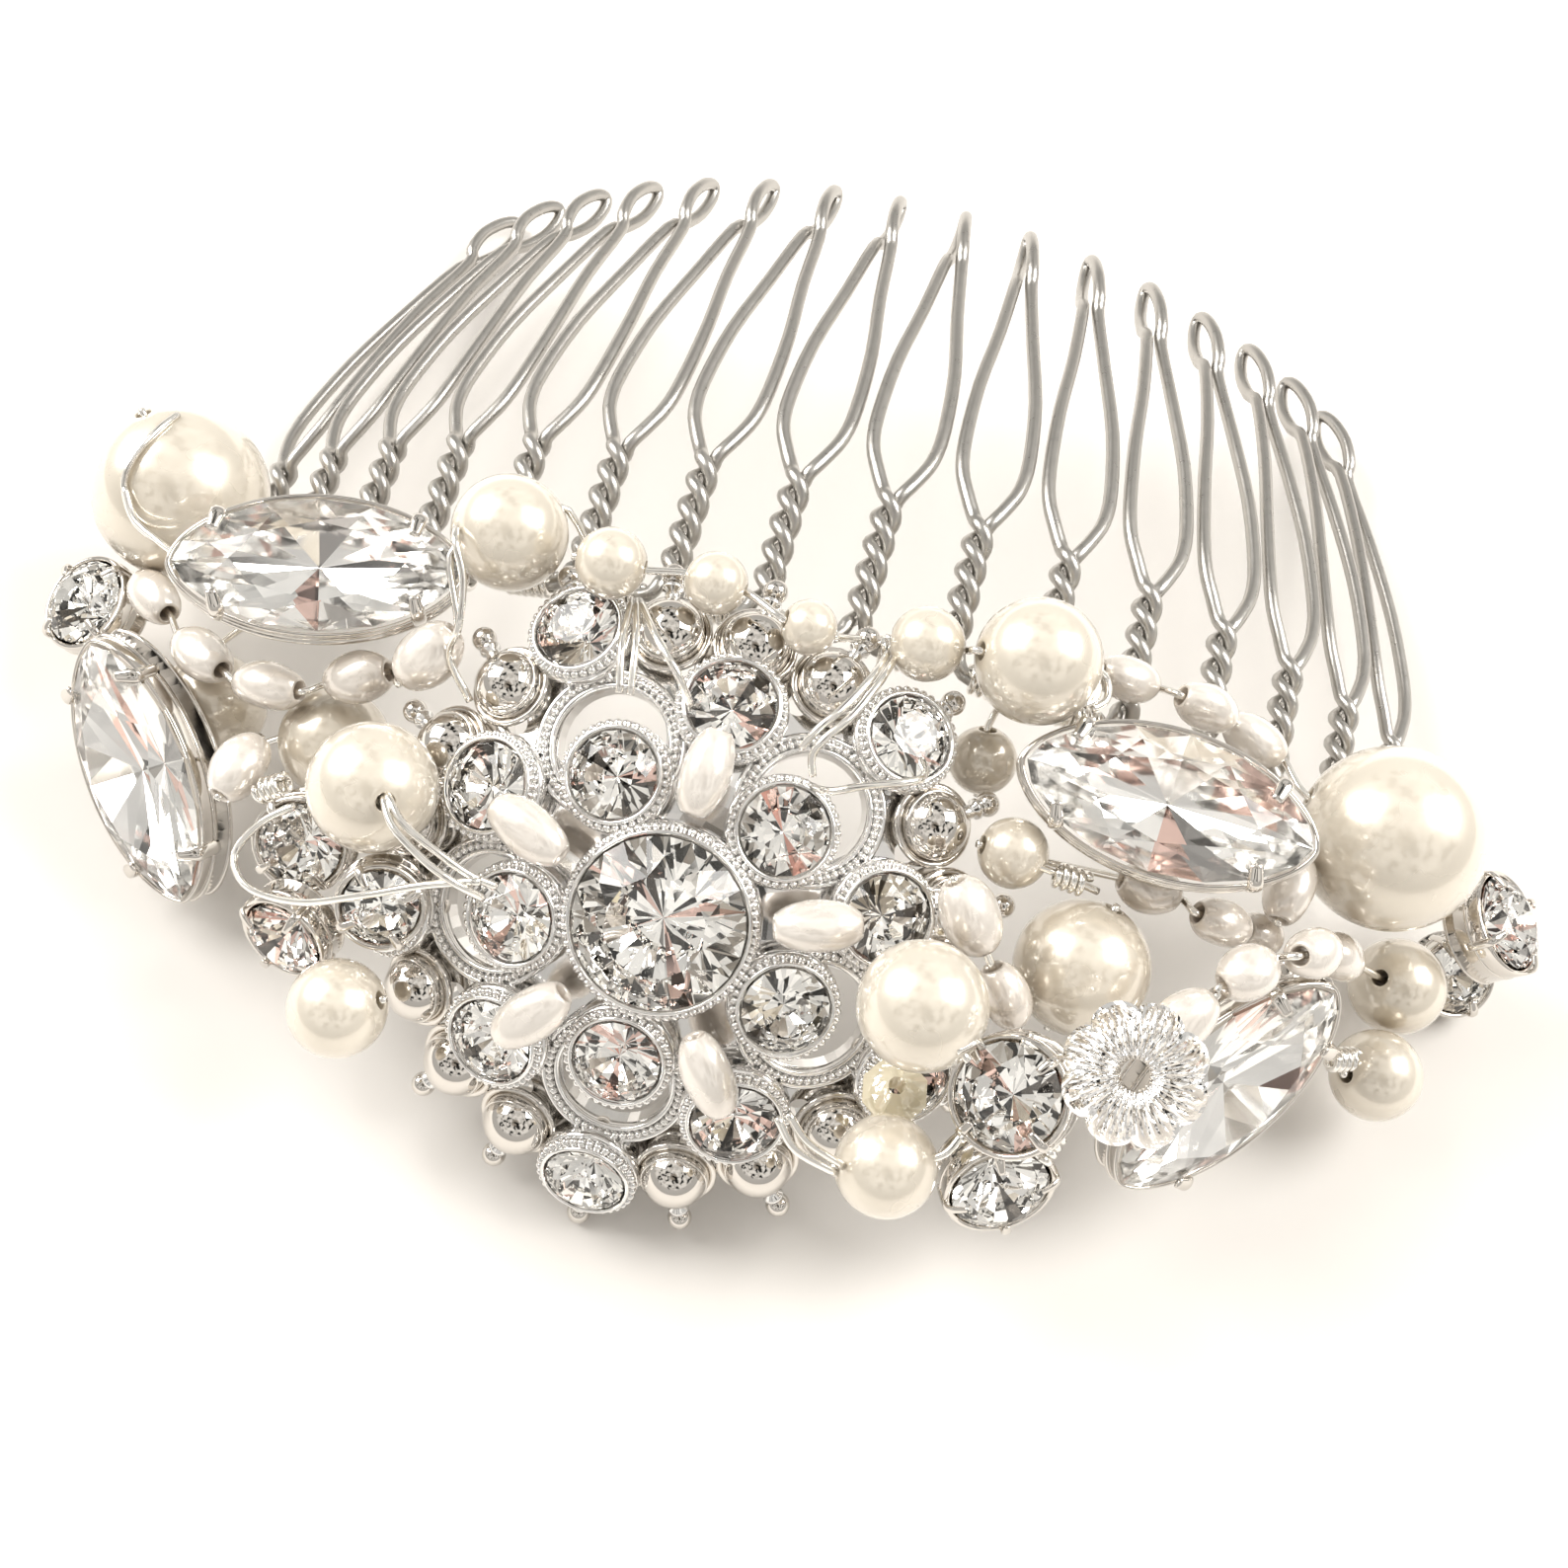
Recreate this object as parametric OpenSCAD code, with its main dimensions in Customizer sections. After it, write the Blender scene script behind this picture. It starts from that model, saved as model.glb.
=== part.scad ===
// Bridal tiara comb: one long wire bent into sixteen twisted hairpin teeth, with a domed
// brooch, pearls, boat-shaped crystals and small set stones wired to its bar.
// Frame: X runs along the arch, Y points along the teeth to their tips, Z is up, and the
// comb rests on the plane Z = 0 as it does by itself. Angles along the arch are counted
// from its middle, positive to +X. Lift is the distance outside the arc of the teeth.

/* [Comb wire] */
// Number of teeth
tooth_count = 16; // [12:1:18]
// Distance between teeth along the arc
tooth_pitch = 5; // [4.8:0.1:6]
// Radius of the arc that the teeth stand on
comb_r = 48; // [44:1:60]
// Length of a tooth from the twist to its tip
tooth_len = 25; // [20:1:32]
// How far the tips bend in towards the hair
tip_drop = 8.8; // [4:0.2:10]
// Length of the twisted shank
shank_len = 8; // [7.5:0.5:10]
// Turns in the twist
shank_turns = 2.5; // [1.5:1:2.5]
// Diameter of the comb wire
comb_wire = 0.82; // [0.6:0.02:0.84]

/* [Brooch] */
// Radius of the dome that the brooch stones lie on
dome_r = 28.5; // [26:0.5:40]
// Diameter of the middle stone
middle_d = 8.6; // [7:0.1:8.8]
// Diameter of the ten inner stones
chaton_d = 4.4; // [3.4:0.1:4.5]
// Diameter of the five stones at the rim
rim_stone_d = 4.2; // [3.4:0.1:4.4]
// Diameter of the polished metal beads at the rim
rim_bead_d = 3.6; // [3:0.1:3.7]
// Diameter of the small balls at the brooch tips
tip_ball_d = 1.3; // [1.1:0.1:1.8]
// Lean of the brooch towards the front
brooch_tip = 28; // [24:1:30]

/* [Wired pieces] */
// Diameter of the binding wire
thread_d = 0.4; // [0.3:0.02:0.4]
// Diameter of the holes drilled in the beads
hole_d = 0.9; // [0.8:0.05:1]
// Wall of the stone settings
setting_wall = 0.3; // [0.25:0.05:0.4]
// Space between a stone and its setting
stone_gap = 0.08; // [0.05:0.01:0.12]

/* [Hidden] */
$fn = 48;
wire_sides = 5;
lip = 0.15;
prong_d = 0.5;
thread_out = 0.25;
pin_out = 0.6;
wrap_r = comb_wire / 2 + thread_d / 2 + 0.25;
pitch_deg = tooth_pitch / comb_r * 180 / PI;
twist_r = comb_wire / 2 + 0.07;
bar_y = -shank_len - 1;
rest_tip = 5.3;
rest_lean = -1.3;
rest_place = [-0.37, 5.02, 19.02];

// One half of a hairpin leg: share of the tooth length, half gap as a share of the pitch
LEG = [
    [0.05, 0.22],
    [0.11, 0.33],
    [0.20, 0.37],
    [0.38, 0.33],
    [0.58, 0.20],
    [0.78, 0.10],
];
// One half of the eye at the tip: share of the tooth length, side step, step off the middle line
EYE = [
    [0.83, 0.3, 0.6],
    [0.90, 0.1, 0.95],
    [0.97, 0, 0.65],
];

// Brooch stones on the dome: distance out, first angle (then every 72 degrees), diameter
INNER_RING = [7.5, 36, chaton_d];
OUTER_RING = [11, 0, chaton_d];
RIM_RING = [14.9, 36, rim_stone_d];
brooch_place = [-3, -25.8, -0.65];
brooch_turn = 14;
plate_top = -1.8;
plate_thick = 0.8;
plate_r = 14.3;
cup_deep = 2.2;
seat_share = 0.4;
loop_out = 9.3;
loop_r = 3.4;
loop_wire = 0.8;
stem_d = 0.8;
tip_sink = -0.8;
stone_tip = [chaton_d / 2, 1.35];
bead_out = 14.4;
bead_sink = -1;
bead_tip = [1.2, 2.1];
brooch_rice = [4.6, 2.6];
brooch_rice_out = 7.4;
brooch_rice_lift = 1.4;
brooch_rice_lean = -6;
// Openings in the plate: distance out, first angle (then every 72 degrees), radius
PIERCINGS = [
    [11, 36, 1.3],
    [10.4, 19, 0.8],
    [10.4, 53, 0.8],
    [13, -14, 0.6],
    [13, 14, 0.6],
];

// Round pearls: name, degrees along the arc, Y, lift, diameter
PEARLS = [
    ["pearl_left_end", -43.2, -5.9, 6, 10],
    ["pearl_left_hidden", -40.5, -17, 0.5, 6],
    ["pearl_left_low", -30, -18.5, -1.5, 6],
    ["pearl_left_front", -20.6, -23.1, 3.8, 6.5],
    ["pearl_left_wired", -22, -33, -1.2, 5],
    ["pearl_left_top", -17.4, -8.6, 4.3, 6],
    ["pearl_back_1", -10.7, -9.9, 4.9, 3.6],
    ["pearl_back_2", -5, -9.6, 4.2, 3.2],
    ["pearl_back_3", 0.5, -10.6, 3.8, 2.8],
    ["pearl_right_small_1", 7, -9.5, 3.3, 3.8],
    ["pearl_right_top", 13, -9, 4.4, 6.4],
    ["pearl_right_small_2", 13.2, -12.2, -2, 3.6],
    ["pearl_right_small_3", 15.5, -17.5, 0.5, 3.6],
    ["pearl_right_end", 37, -10, 5.7, 9.8],
    ["pearl_right_front", 11.3, -27.5, 3.9, 6.2],
    ["pearl_right_big", 22, -21.5, -0.6, 7],
    ["pearl_right_low", 13, -34, -1.5, 5],
    ["pearl_right_side_1", 46.5, -14.8, 1.8, 5.4],
    ["pearl_right_side_2", 45.5, -20.3, 1.8, 5],
];

// Rice pearls: name, degrees along the arc, Y, lift, length, diameter
RICE = [
    ["rice_l1", -42.5, -12.5, 5.3, 4.2, 2.6],
    ["rice_l2", -37, -16, 4.1, 4.4, 2.7],
    ["rice_l3", -31.5, -17.5, 3, 4.2, 2.7],
    ["rice_l4", -26, -16.3, 1.9, 4, 2.8],
    ["rice_l5", -32, -22, 2.5, 4, 2.8],
    ["rice_l6", -20.8, -15.3, 2.9, 4, 3.2],
    ["rice_r1", 19.3, -7, 2.3, 3.6, 2.5],
    ["rice_r2", 23.8, -7.4, 3.7, 3.6, 2.5],
    ["rice_r3", 29, -6.8, 2, 3.8, 2.5],
    ["rice_r4", 24.4, -16.7, 0.9, 3.5, 2.6],
    ["rice_r5", 28.9, -17.3, 2.1, 3.5, 2.6],
    ["rice_r6", 33.2, -16.3, 0.9, 3.4, 2.4],
    ["rice_r7", 32, -14.5, 3.6, 4, 2.7],
    ["rice_r8", 27.8, -20.9, 6, 3.2, 2.7],
    ["rice_r9", 30.9, -18.9, 7, 3.2, 2.7],
    ["rice_r10", 37.3, -16.4, 3.4, 4, 2.6],
    ["rice_r11", 25.3, -24.1, 4.6, 4.2, 2.7],
    ["rice_r12", 13.2, -22, 2.2, 4.2, 3],
    ["rice_r13", 17, -24.6, 0.3, 3.6, 2.5],
];

// Boat-shaped stones: name, degrees along the arc, Y, lift, tip, lean, turn, length, width
NAVETTES = [
    ["navette_left_top", -26.9, -12.4, 6.6, 15, 13, 18, 14.4, 7.2],
    ["navette_left_front", -40.5, -22.5, 3.2, 39, -18, -70, 14.4, 7.2],
    ["navette_right_top", 21.4, -14.2, 5.6, 18, -4, -5, 14.4, 7.4],
    ["navette_right_front", 33.2, -24.7, 0.6, 37, 27, 72, 14.4, 7.4],
];

// Their outline, their cut and the wall and claws that hold them. The shares are of the
// length and the width, the draw is the power that brings the sides in to the ends.
navette_draw = 1.25;
navette_facets = 10;
navette_sides = 40;
navette_table = 0.6;
navette_crown = 1.4;
navette_girdle = 0.3;
navette_depth = 2.2;
navette_wall_deep = 2.4;
navette_lip = 0.1;
claw_share = [0.3, 0.38];
claw_out = 0.3;
claw_d = 0.7;
claw_deep = 1.5;
claw_len = 2.4;

// Round set stones: name, degrees along the arc, Y, lift, tip, lean, diameter
CHATONS = [
    ["chaton_left_end", -47.5, -13, 7, 7, -25, 5],
    ["chaton_left_prong", -27.3, -25.3, 0.5, 35, 0, 4.4],
    ["chaton_left_side", -27.2, -30, -0.6, 59, -25, 4.2],
    ["chaton_left_low", -20.2, -28, 0.3, 34, 14, 3.8],
    ["chaton_right_prong", 17.5, -29.9, 2.4, 22, -19, 5.2],
    ["chaton_right_side", 21.3, -33, -3, 49, 34, 5],
    ["chaton_right_end", 48, -10.5, 7, -9, 37, 5.2],
    ["chaton_right_low", 51.5, -12.5, 3.2, 23, 15, 4],
];
// Their cup's depth as a share of the diameter, and their four prongs
chaton_cup = 0.42;
prong_sink = 0.4;
prong_len = 1.1;

// The glass flower and the bicone: places in degrees, Y and lift, then sizes
flower_place = [21.2, -28.4, 7.7];
flower_lean = [17, -14];
flower_lobes = 8;
flower_lobe_out = 2.35;
flower_lobe_d = 2.1;
flower_lobe_thick = 1.4;
flower_middle_d = 4.7;
flower_thick = 1.8;
flower_hole_d = 1.2;
bicone_place = [13, -30, -3.1];
bicone_r = 1.7;
bicone_half = 1.3;

function unit(v) = v / norm(v);
function turned_y(p, a) = [p.x * cos(a) + p.z * sin(a), p.y, p.z * cos(a) - p.x * sin(a)];
function on_arc(along, y, lift) = turned_y([0, y, comb_r + lift], along) - [0, 0, comb_r];
function row_place(row) = on_arc(row[1], row[2], row[3]);

// The resting place of everything that is drawn in the comb's own frame
module at_rest() {
    translate(rest_place)
        rotate([rest_tip, rest_lean, 0])
            children();
}

// A round wire swept along a path, its rings carried on without twist
function carried(normal, tangent) = unit(normal - (normal * tangent) * tangent);
function wire_tangents(path) = [
    for (i = [0:len(path) - 1])
        unit(path[min(i + 1, len(path) - 1)] - path[max(i - 1, 0)])
];
function wire_normals(tangents) = [
    for (
        i = 0, n = carried([0.3, 0.2, 1], tangents[0]);
        i < len(tangents);
        i = i + 1, n = carried(n, tangents[min(i, len(tangents) - 1)])
    ) n
];
function ring_faces(rings, sides) = [
    for (i = [0:rings - 2], k = [0:sides - 1])
        let (a = i * sides + k, b = i * sides + (k + 1) % sides)
            each [[a, b + sides, b], [a, a + sides, b + sides]]
];
module swept_wire(path, d, sides = wire_sides) {
    tangents = wire_tangents(path);
    normals = wire_normals(tangents);
    rings = len(path);
    points = [
        for (i = [0:rings - 1], k = [0:sides - 1])
            let (a = 360 * k / sides, side = cross(tangents[i], normals[i]))
                path[i] + d / 2 * (cos(a) * normals[i] + sin(a) * side)
    ];
    start_cap = [[for (k = [0:sides - 1]) k]];
    end_cap = [[for (k = [sides - 1:-1:0]) (rings - 1) * sides + k]];
    polyhedron(points, concat(start_cap, ring_faces(rings, sides), end_cap), convexity = 10);
}

// The comb: every tooth is a twisted pair, two legs and an eye, in its own upright plane
function tooth_angle(i) = (i - (tooth_count - 1) / 2) * pitch_deg;
function tooth_bend(y) = y <= 0 ? 0 : tip_drop * pow(y / tooth_len, 1.4);
function on_tooth(i, p) =
    turned_y([p.x, p.y, comb_r + p.z - tooth_bend(p.y)], tooth_angle(i)) - [0, 0, comb_r];
twist_steps = 6 * shank_turns;
function strand(first) = [
    for (j = [0:twist_steps])
        let (a = first + 360 * shank_turns * j / twist_steps, y = shank_len * j / twist_steps)
            [twist_r * cos(a), y - shank_len, twist_r * sin(a)]
];
function leg(side) = [for (s = LEG) [side * s[1] * tooth_pitch, s[0] * tooth_len, 0]];
function eye(side) = [for (s = EYE) [side * s[1], s[0] * tooth_len, side * s[2]]];
function reversed(list) = [for (i = [len(list) - 1:-1:0]) list[i]];
foot = [[twist_r + 0.2, bar_y + 0.45, 0], [1.3, bar_y, 0]];
function mirrored(path) = [for (p = path) [-p.x, p.y, p.z]];
// Up the first strand, which the odd half turn brings to the right leg, round the eye,
// down the left leg and back along the second strand
tooth_path = concat(
    reversed(mirrored(foot)),
    strand(180),
    leg(1),
    eye(1),
    [[0, tooth_len, 0]],
    reversed(eye(-1)),
    reversed(leg(-1)),
    reversed(strand(0)),
    foot
);
module wire_comb() {
    color("silver")
        at_rest()
            swept_wire(
                [for (i = [0:tooth_count - 1]) each [for (p = tooth_path) on_tooth(i, p)]],
                comb_wire
            );
}

// Where a brooch piece stands: out from the middle on the dome, turned around it
module on_brooch() {
    translate(brooch_place)
        rotate([brooch_tip, 0, 0])
            rotate([0, 0, brooch_turn])
                children();
}
module on_dome(out, around, lift = 0) {
    rotate([0, 0, around])
        translate([0, 0, -dome_r])
            rotate([0, asin(out / dome_r), 0])
                translate([0, 0, dome_r + lift])
                    children();
}
module five_around(ring) {
    for (k = [0:4])
        on_dome(ring[0], ring[1] + 72 * k)
            children();
}

// The faces of a cut stone: its table, three rings of n points and the point underneath
function stone_faces(n) = concat(
    [[for (k = [n - 1:-1:0]) k]],
    [for (f = ring_faces(3, n)) [f[0], f[2], f[1]]],
    [for (k = [0:n - 1]) [2 * n + k, 2 * n + (k + 1) % n, 3 * n]]
);

// A brilliant: table, one row of crown facets, girdle and a pavilion down to its point
module brilliant(d, facets = 8) {
    crown = 0.2 * d;
    girdle = 0.04 * d;
    depth = 0.38 * d;
    half = 180 / facets;
    points = concat(
        [for (k = [0:facets - 1]) [0.3 * d * cos(2 * half * k), 0.3 * d * sin(2 * half * k), crown]],
        [for (z = [girdle / 2, -girdle / 2], k = [0:facets - 1])
            [d / 2 * cos(2 * half * k + half), d / 2 * sin(2 * half * k + half), z]],
        [[0, 0, -depth]]
    );
    polyhedron(points, stone_faces(facets));
}

// A cup with a ledge, open underneath; its lip stands just over the girdle
module cup_profile(d, deep) {
    bore = d / 2 + stone_gap;
    ledge_r = 0.3 * d;
    polygon([
        [ledge_r, -deep],
        [bore + setting_wall - 0.1, -deep],
        [bore + setting_wall, lip],
        [bore, lip],
        [bore, -0.175 * d],
        [ledge_r, -0.315 * d],
    ]);
}
module cup(d, deep) {
    rotate_extrude()
        cup_profile(d, deep);
}

module brooch_plate() {
    intersection() {
        translate([0, 0, -dome_r])
            difference() {
                sphere(r = dome_r + plate_top);
                sphere(r = dome_r + plate_top - plate_thick);
            }
        translate([0, 0, -dome_r / 2])
            cylinder(r = plate_r, h = dome_r);
    }
}
module brooch_piercings() {
    for (ring = [INNER_RING, OUTER_RING, RIM_RING])
        five_around(ring)
            cylinder(r = ring[2] * seat_share, h = 8, center = true);
    cylinder(r = middle_d * seat_share, h = 12, center = true);
    for (hole = PIERCINGS)
        five_around(hole)
            cylinder(r = hole[2], h = 8, center = true);
}
module brooch_cups(ring) {
    five_around(ring)
        cup(ring[2], cup_deep);
}
module petal_loops() {
    for (k = [0:4])
        on_dome(loop_out, INNER_RING[1] + 72 * k, plate_top)
            rotate_extrude()
                translate([loop_r, 0])
                    circle(d = loop_wire, $fn = 24);
}
// A stem that points outwards and ends in a small ball
module rim_tip(from, reach) {
    translate([from, 0, 0]) {
        rotate([0, 90, 0])
            cylinder(d = stem_d, h = reach);
        translate([reach, 0, 0])
            sphere(d = tip_ball_d);
    }
}
module rim_tips() {
    for (k = [0:4])
        on_dome(RIM_RING[0], RIM_RING[1] + 72 * k, tip_sink)
            rim_tip(stone_tip[0], stone_tip[1]);
}
// Twenty places round the rim, less the five that hold stones. A bead's turn keeps the
// poles of its sphere away from the cups beside it.
module rim_beads() {
    for (k = [0:19])
        if (k % 4 != 2)
            on_dome(bead_out, 18 * k, bead_sink) {
                rotate([40, 25, 0])
                    sphere(d = rim_bead_d);
                rim_tip(bead_tip[0], bead_tip[1]);
            }
}
module brooch_frame() {
    color("silver")
        at_rest()
            on_brooch() {
                difference() {
                    brooch_plate();
                    brooch_piercings();
                }
                cup(middle_d, cup_deep + 0.2);
                brooch_cups(INNER_RING);
                brooch_cups(OUTER_RING);
                brooch_cups(RIM_RING);
                petal_loops();
                rim_tips();
                rim_beads();
            }
}
module brooch_middle_stone() {
    color("lightcyan")
        at_rest()
            on_brooch()
                brilliant(middle_d, 12);
}
module brooch_stones(ring) {
    color("lightcyan")
        at_rest()
            on_brooch()
                five_around(ring)
                    brilliant(ring[2]);
}

// A rice pearl lies along X and is drilled from end to end
module rice_pearl(length, d) {
    rotate([0, 90, 0])
        rotate_extrude()
            difference() {
                scale([d / length, 1])
                    circle(d = length, $fn = 28);
                translate([-length, -length])
                    square([length + hole_d / 2, 2 * length]);
            }
}
module brooch_rice_pearls() {
    color("ivory")
        at_rest()
            on_brooch()
                for (k = [0:4])
                    on_dome(brooch_rice_out, 72 * k, brooch_rice_lift)
                        rotate([0, brooch_rice_lean, 0])
                            rice_pearl(brooch_rice[0], brooch_rice[1]);
}

// Wires through the beads. A thread has its node, the bar link that it starts from, its
// beads in order and the bar link where it ends. Links are counted from the left, -1 is none.
THREADS = [
    ["wires_left", 0, ["pearl_left_end"], -1],
    ["wires_left", -1,
        ["rice_l1", "rice_l2", "rice_l3", "rice_l4", "rice_l6", "pearl_left_top"], 5],
    ["wires_left", 1, ["pearl_left_hidden", "pearl_left_low", "pearl_left_front"], -1],
    ["wires_back", -1, ["pearl_back_1", "pearl_back_2", "pearl_back_3"], 8],
    ["wires_right", -1,
        ["pearl_right_small_1", "pearl_right_top", "rice_r1", "rice_r2", "rice_r3", "pearl_right_end"], -1],
    ["wires_right", 9,
        ["pearl_right_small_2"], -1],
    ["wires_right", -1,
        ["pearl_right_small_3", "rice_r4", "rice_r5", "rice_r6"], -1],
    ["wires_right", -1,
        ["rice_r11", "rice_r8", "rice_r9", "rice_r10", "pearl_right_side_1"], -1],
    ["wires_right", -1, ["rice_r12", "rice_r13"], -1],
];
// Beads whose hole is not in line with their neighbours: name, then the hole's direction
// along the arch, along Y and outwards
OWN_AXES = [
    ["pearl_left_end", [0.25, 0.45, 0.85]],
    ["pearl_right_end", [0.85, -0.2, 0.5]],
    ["rice_l5", [0.1, 0.95, -0.2]],
    ["rice_r7", [0.1, 0.95, 0.1]],
    ["pearl_left_wired", [0.9, 0.3, 0]],
    ["pearl_right_front", [0.75, -0.6, 0.2]],
    ["pearl_right_big", [0, 0.8, 0.6]],
    ["pearl_right_low", [0.95, 0.3, 0]],
    ["pearl_right_side_2", [0.9, 0.3, 0.2]],
];
// Beads on a short straight wire of their own
PINS = [
    ["wires_left", "rice_l5"],
    ["wires_left", "pearl_left_wired"],
    ["wires_right", "rice_r7"],
    ["wires_right", "pearl_right_front"],
    ["wires_right", "pearl_right_big"],
    ["wires_right", "pearl_right_low"],
    ["wires_right", "pearl_right_side_2"],
];
BEADS = concat(PEARLS, RICE);
function named(table, name) = [for (row = table) if (row[0] == name) row];
function bead(name) = named(BEADS, name)[0];
function bead_place(name) = row_place(bead(name));
function link_angle(link) = tooth_angle(link + 0.5);
function link_point(link, x, around) = on_tooth(
    link + 0.5, [x, bar_y + wrap_r * cos(around), wrap_r * sin(around)]);
// The wire's hook round the bar, from its front, under it and over the back to its top
function hook(link) =
    link < 0 ? [] : [for (j = [0:7]) link_point(link, -0.35 + 0.1 * j, -180 + 45 * j)];
function end_place(link) = on_tooth(link + 0.5, [0, bar_y, wrap_r]);
// Places along a thread: its anchors where it has them, and its beads
function stops(thread) = concat(
    thread[1] < 0 ? [] : [end_place(thread[1])],
    [for (name = thread[2]) bead_place(name)],
    thread[3] < 0 ? [] : [end_place(thread[3])]
);
function thread_of(name) =
    [for (t = THREADS) if (len([for (b = t[2]) if (b == name) 1]) > 0) t];
function in_line_axis(name) =
    let (thread = thread_of(name)[0], all = stops(thread))
        let (i = [for (i = [0:len(all) - 1]) if (all[i] == bead_place(name)) i][0])
            unit(all[min(i + 1, len(all) - 1)] - all[max(i - 1, 0)]);
function hole_axis(name) =
    let (own = named(OWN_AXES, name))
        len(own) > 0 ? unit(turned_y(own[0][1], bead(name)[1])) : in_line_axis(name);
function half_length(name) = bead(name)[4] / 2;
function through(name, out) =
    let (place = bead_place(name), axis = hole_axis(name), reach = half_length(name) + out)
        [place - reach * axis, place, place + reach * axis];
function thread_path(thread) = concat(
    hook(thread[1]),
    [for (name = thread[2]) each through(name, thread_out)],
    reversed(hook(thread[3]))
);
module wires(name) {
    color("silver")
        at_rest() {
            for (thread = THREADS)
                if (thread[0] == name)
                    swept_wire(thread_path(thread), thread_d);
            for (pin = PINS)
                if (pin[0] == name)
                    swept_wire(through(pin[1], pin_out), thread_d);
        }
}
module along(axis) {
    rotate([0, -asin(axis.z), atan2(axis.y, axis.x)])
        children();
}

module pearl(row) {
    color("ivory")
        at_rest()
            translate(row_place(row))
                along(hole_axis(row[0]))
                    rotate([0, 90, 0])
                        difference() {
                            sphere(d = row[4]);
                            cylinder(d = hole_d, h = row[4] + 2, center = true);
                        }
}

// A navette's outline is an ellipse that is drawn out to two blunt points
function navette_at(length, width, a) =
    [length / 2 * cos(a), width / 2 * sign(sin(a)) * pow(abs(sin(a)), navette_draw)];
module navette_outline(length, width) {
    polygon([for (k = [0:navette_sides - 1]) navette_at(length, width, 360 * k / navette_sides)]);
}
function navette_ring(length, width, z) = [
    for (k = [0:navette_facets - 1])
        let (p = navette_at(length, width, 360 * k / navette_facets)) [p.x, p.y, z]
];
module navette_stone(row) {
    length = row[7];
    width = row[8];
    points = concat(
        navette_ring(length * navette_table, width * navette_table, navette_crown),
        navette_ring(length, width, navette_girdle / 2),
        navette_ring(length, width, -navette_girdle / 2),
        [[0, 0, -navette_depth]]
    );
    color("lightcyan")
        at_rest()
            translate(row_place(row))
                rotate([row[4], row[5], 0])
                    rotate([0, 0, row[6]])
                        polyhedron(points, stone_faces(navette_facets));
}
module navette_setting(row) {
    length = row[7] + 2 * stone_gap;
    width = row[8] + 2 * stone_gap;
    color("silver")
        at_rest()
            translate(row_place(row))
                rotate([row[4], row[5], 0])
                    rotate([0, 0, row[6]]) {
                        translate([0, 0, -navette_wall_deep])
                            linear_extrude(navette_wall_deep + navette_lip)
                                difference() {
                                    navette_outline(length + 3 * setting_wall, width + 2 * setting_wall);
                                    navette_outline(length, width);
                                }
                        for (x = [-1, 1], y = [-1, 1])
                            translate([
                                x * length * claw_share[0],
                                y * (width * claw_share[1] + claw_out),
                                -claw_deep
                            ])
                                cylinder(d = claw_d, h = claw_len);
                    }
}

module chaton_stone(row) {
    color("lightcyan")
        at_rest()
            translate(row_place(row))
                rotate([row[4], row[5], 0])
                    brilliant(row[6]);
}
module chaton_setting(row) {
    d = row[6];
    color("silver")
        at_rest()
            translate(row_place(row))
                rotate([row[4], row[5], 0]) {
                    cup(d, chaton_cup * d);
                    for (k = [0:3])
                        rotate([0, 0, 45 + 90 * k])
                            translate([d / 2 + stone_gap + prong_d * 0.6, 0, -prong_sink])
                                cylinder(d = prong_d, h = prong_len);
                }
}

module flower_bead() {
    color("lightcyan")
        at_rest()
            translate(on_arc(flower_place[0], flower_place[1], flower_place[2]))
                rotate([flower_lean[0], flower_lean[1], 0])
                    difference() {
                        union() {
                            cylinder(d = flower_middle_d, h = flower_thick, center = true);
                            for (k = [0:flower_lobes - 1])
                                rotate([0, 0, 360 * k / flower_lobes])
                                    translate([flower_lobe_out, 0, 0])
                                        cylinder(d = flower_lobe_d, h = flower_lobe_thick, center = true);
                        }
                        cylinder(d = flower_hole_d, h = flower_thick + 2, center = true);
                    }
}
module bicone_bead() {
    color("wheat")
        at_rest()
            translate(on_arc(bicone_place[0], bicone_place[1], bicone_place[2]))
                rotate_extrude($fn = 16)
                    polygon([[hole_d / 2, -bicone_half], [bicone_r, 0], [hole_d / 2, bicone_half]]);
}
module rice_field(names) {
    color("ivory")
        at_rest()
            for (row = RICE)
                if (row[0][5] == names)
                    translate(row_place(row))
                        along(hole_axis(row[0]))
                            rice_pearl(row[4], row[5]);
}

wire_comb();
brooch_frame();
brooch_middle_stone();
brooch_stones(INNER_RING);  // brooch_inner_stones
brooch_stones(OUTER_RING);  // brooch_outer_stones
brooch_stones(RIM_RING);  // brooch_rim_stones
brooch_rice_pearls();
rice_field("l");  // rice_pearls_left
rice_field("r");  // rice_pearls_right
wires("wires_left");  // wires_left
wires("wires_back");  // wires_back
wires("wires_right");  // wires_right
for (p = PEARLS)
    pearl(p);
for (n = NAVETTES) {
    navette_setting(n);
    navette_stone(n);
}
for (c = CHATONS) {
    chaton_setting(c);
    chaton_stone(c);
}
flower_bead();
bicone_bead();
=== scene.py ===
"""The looks of a bridal tiara comb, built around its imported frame.

Lengths are in metres. The comb's own frame has its origin at the crown of the arc that the
teeth stand on, X along the arch, Y along the teeth to their tips and Z up, and AT_REST lays
that frame down as the comb rests. Pieces that the frame already places are read from it.
"""

import math

import bpy
import numpy as np
from mathutils import Matrix, Vector
from mathutils.geometry import delaunay_2d_cdt


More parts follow.
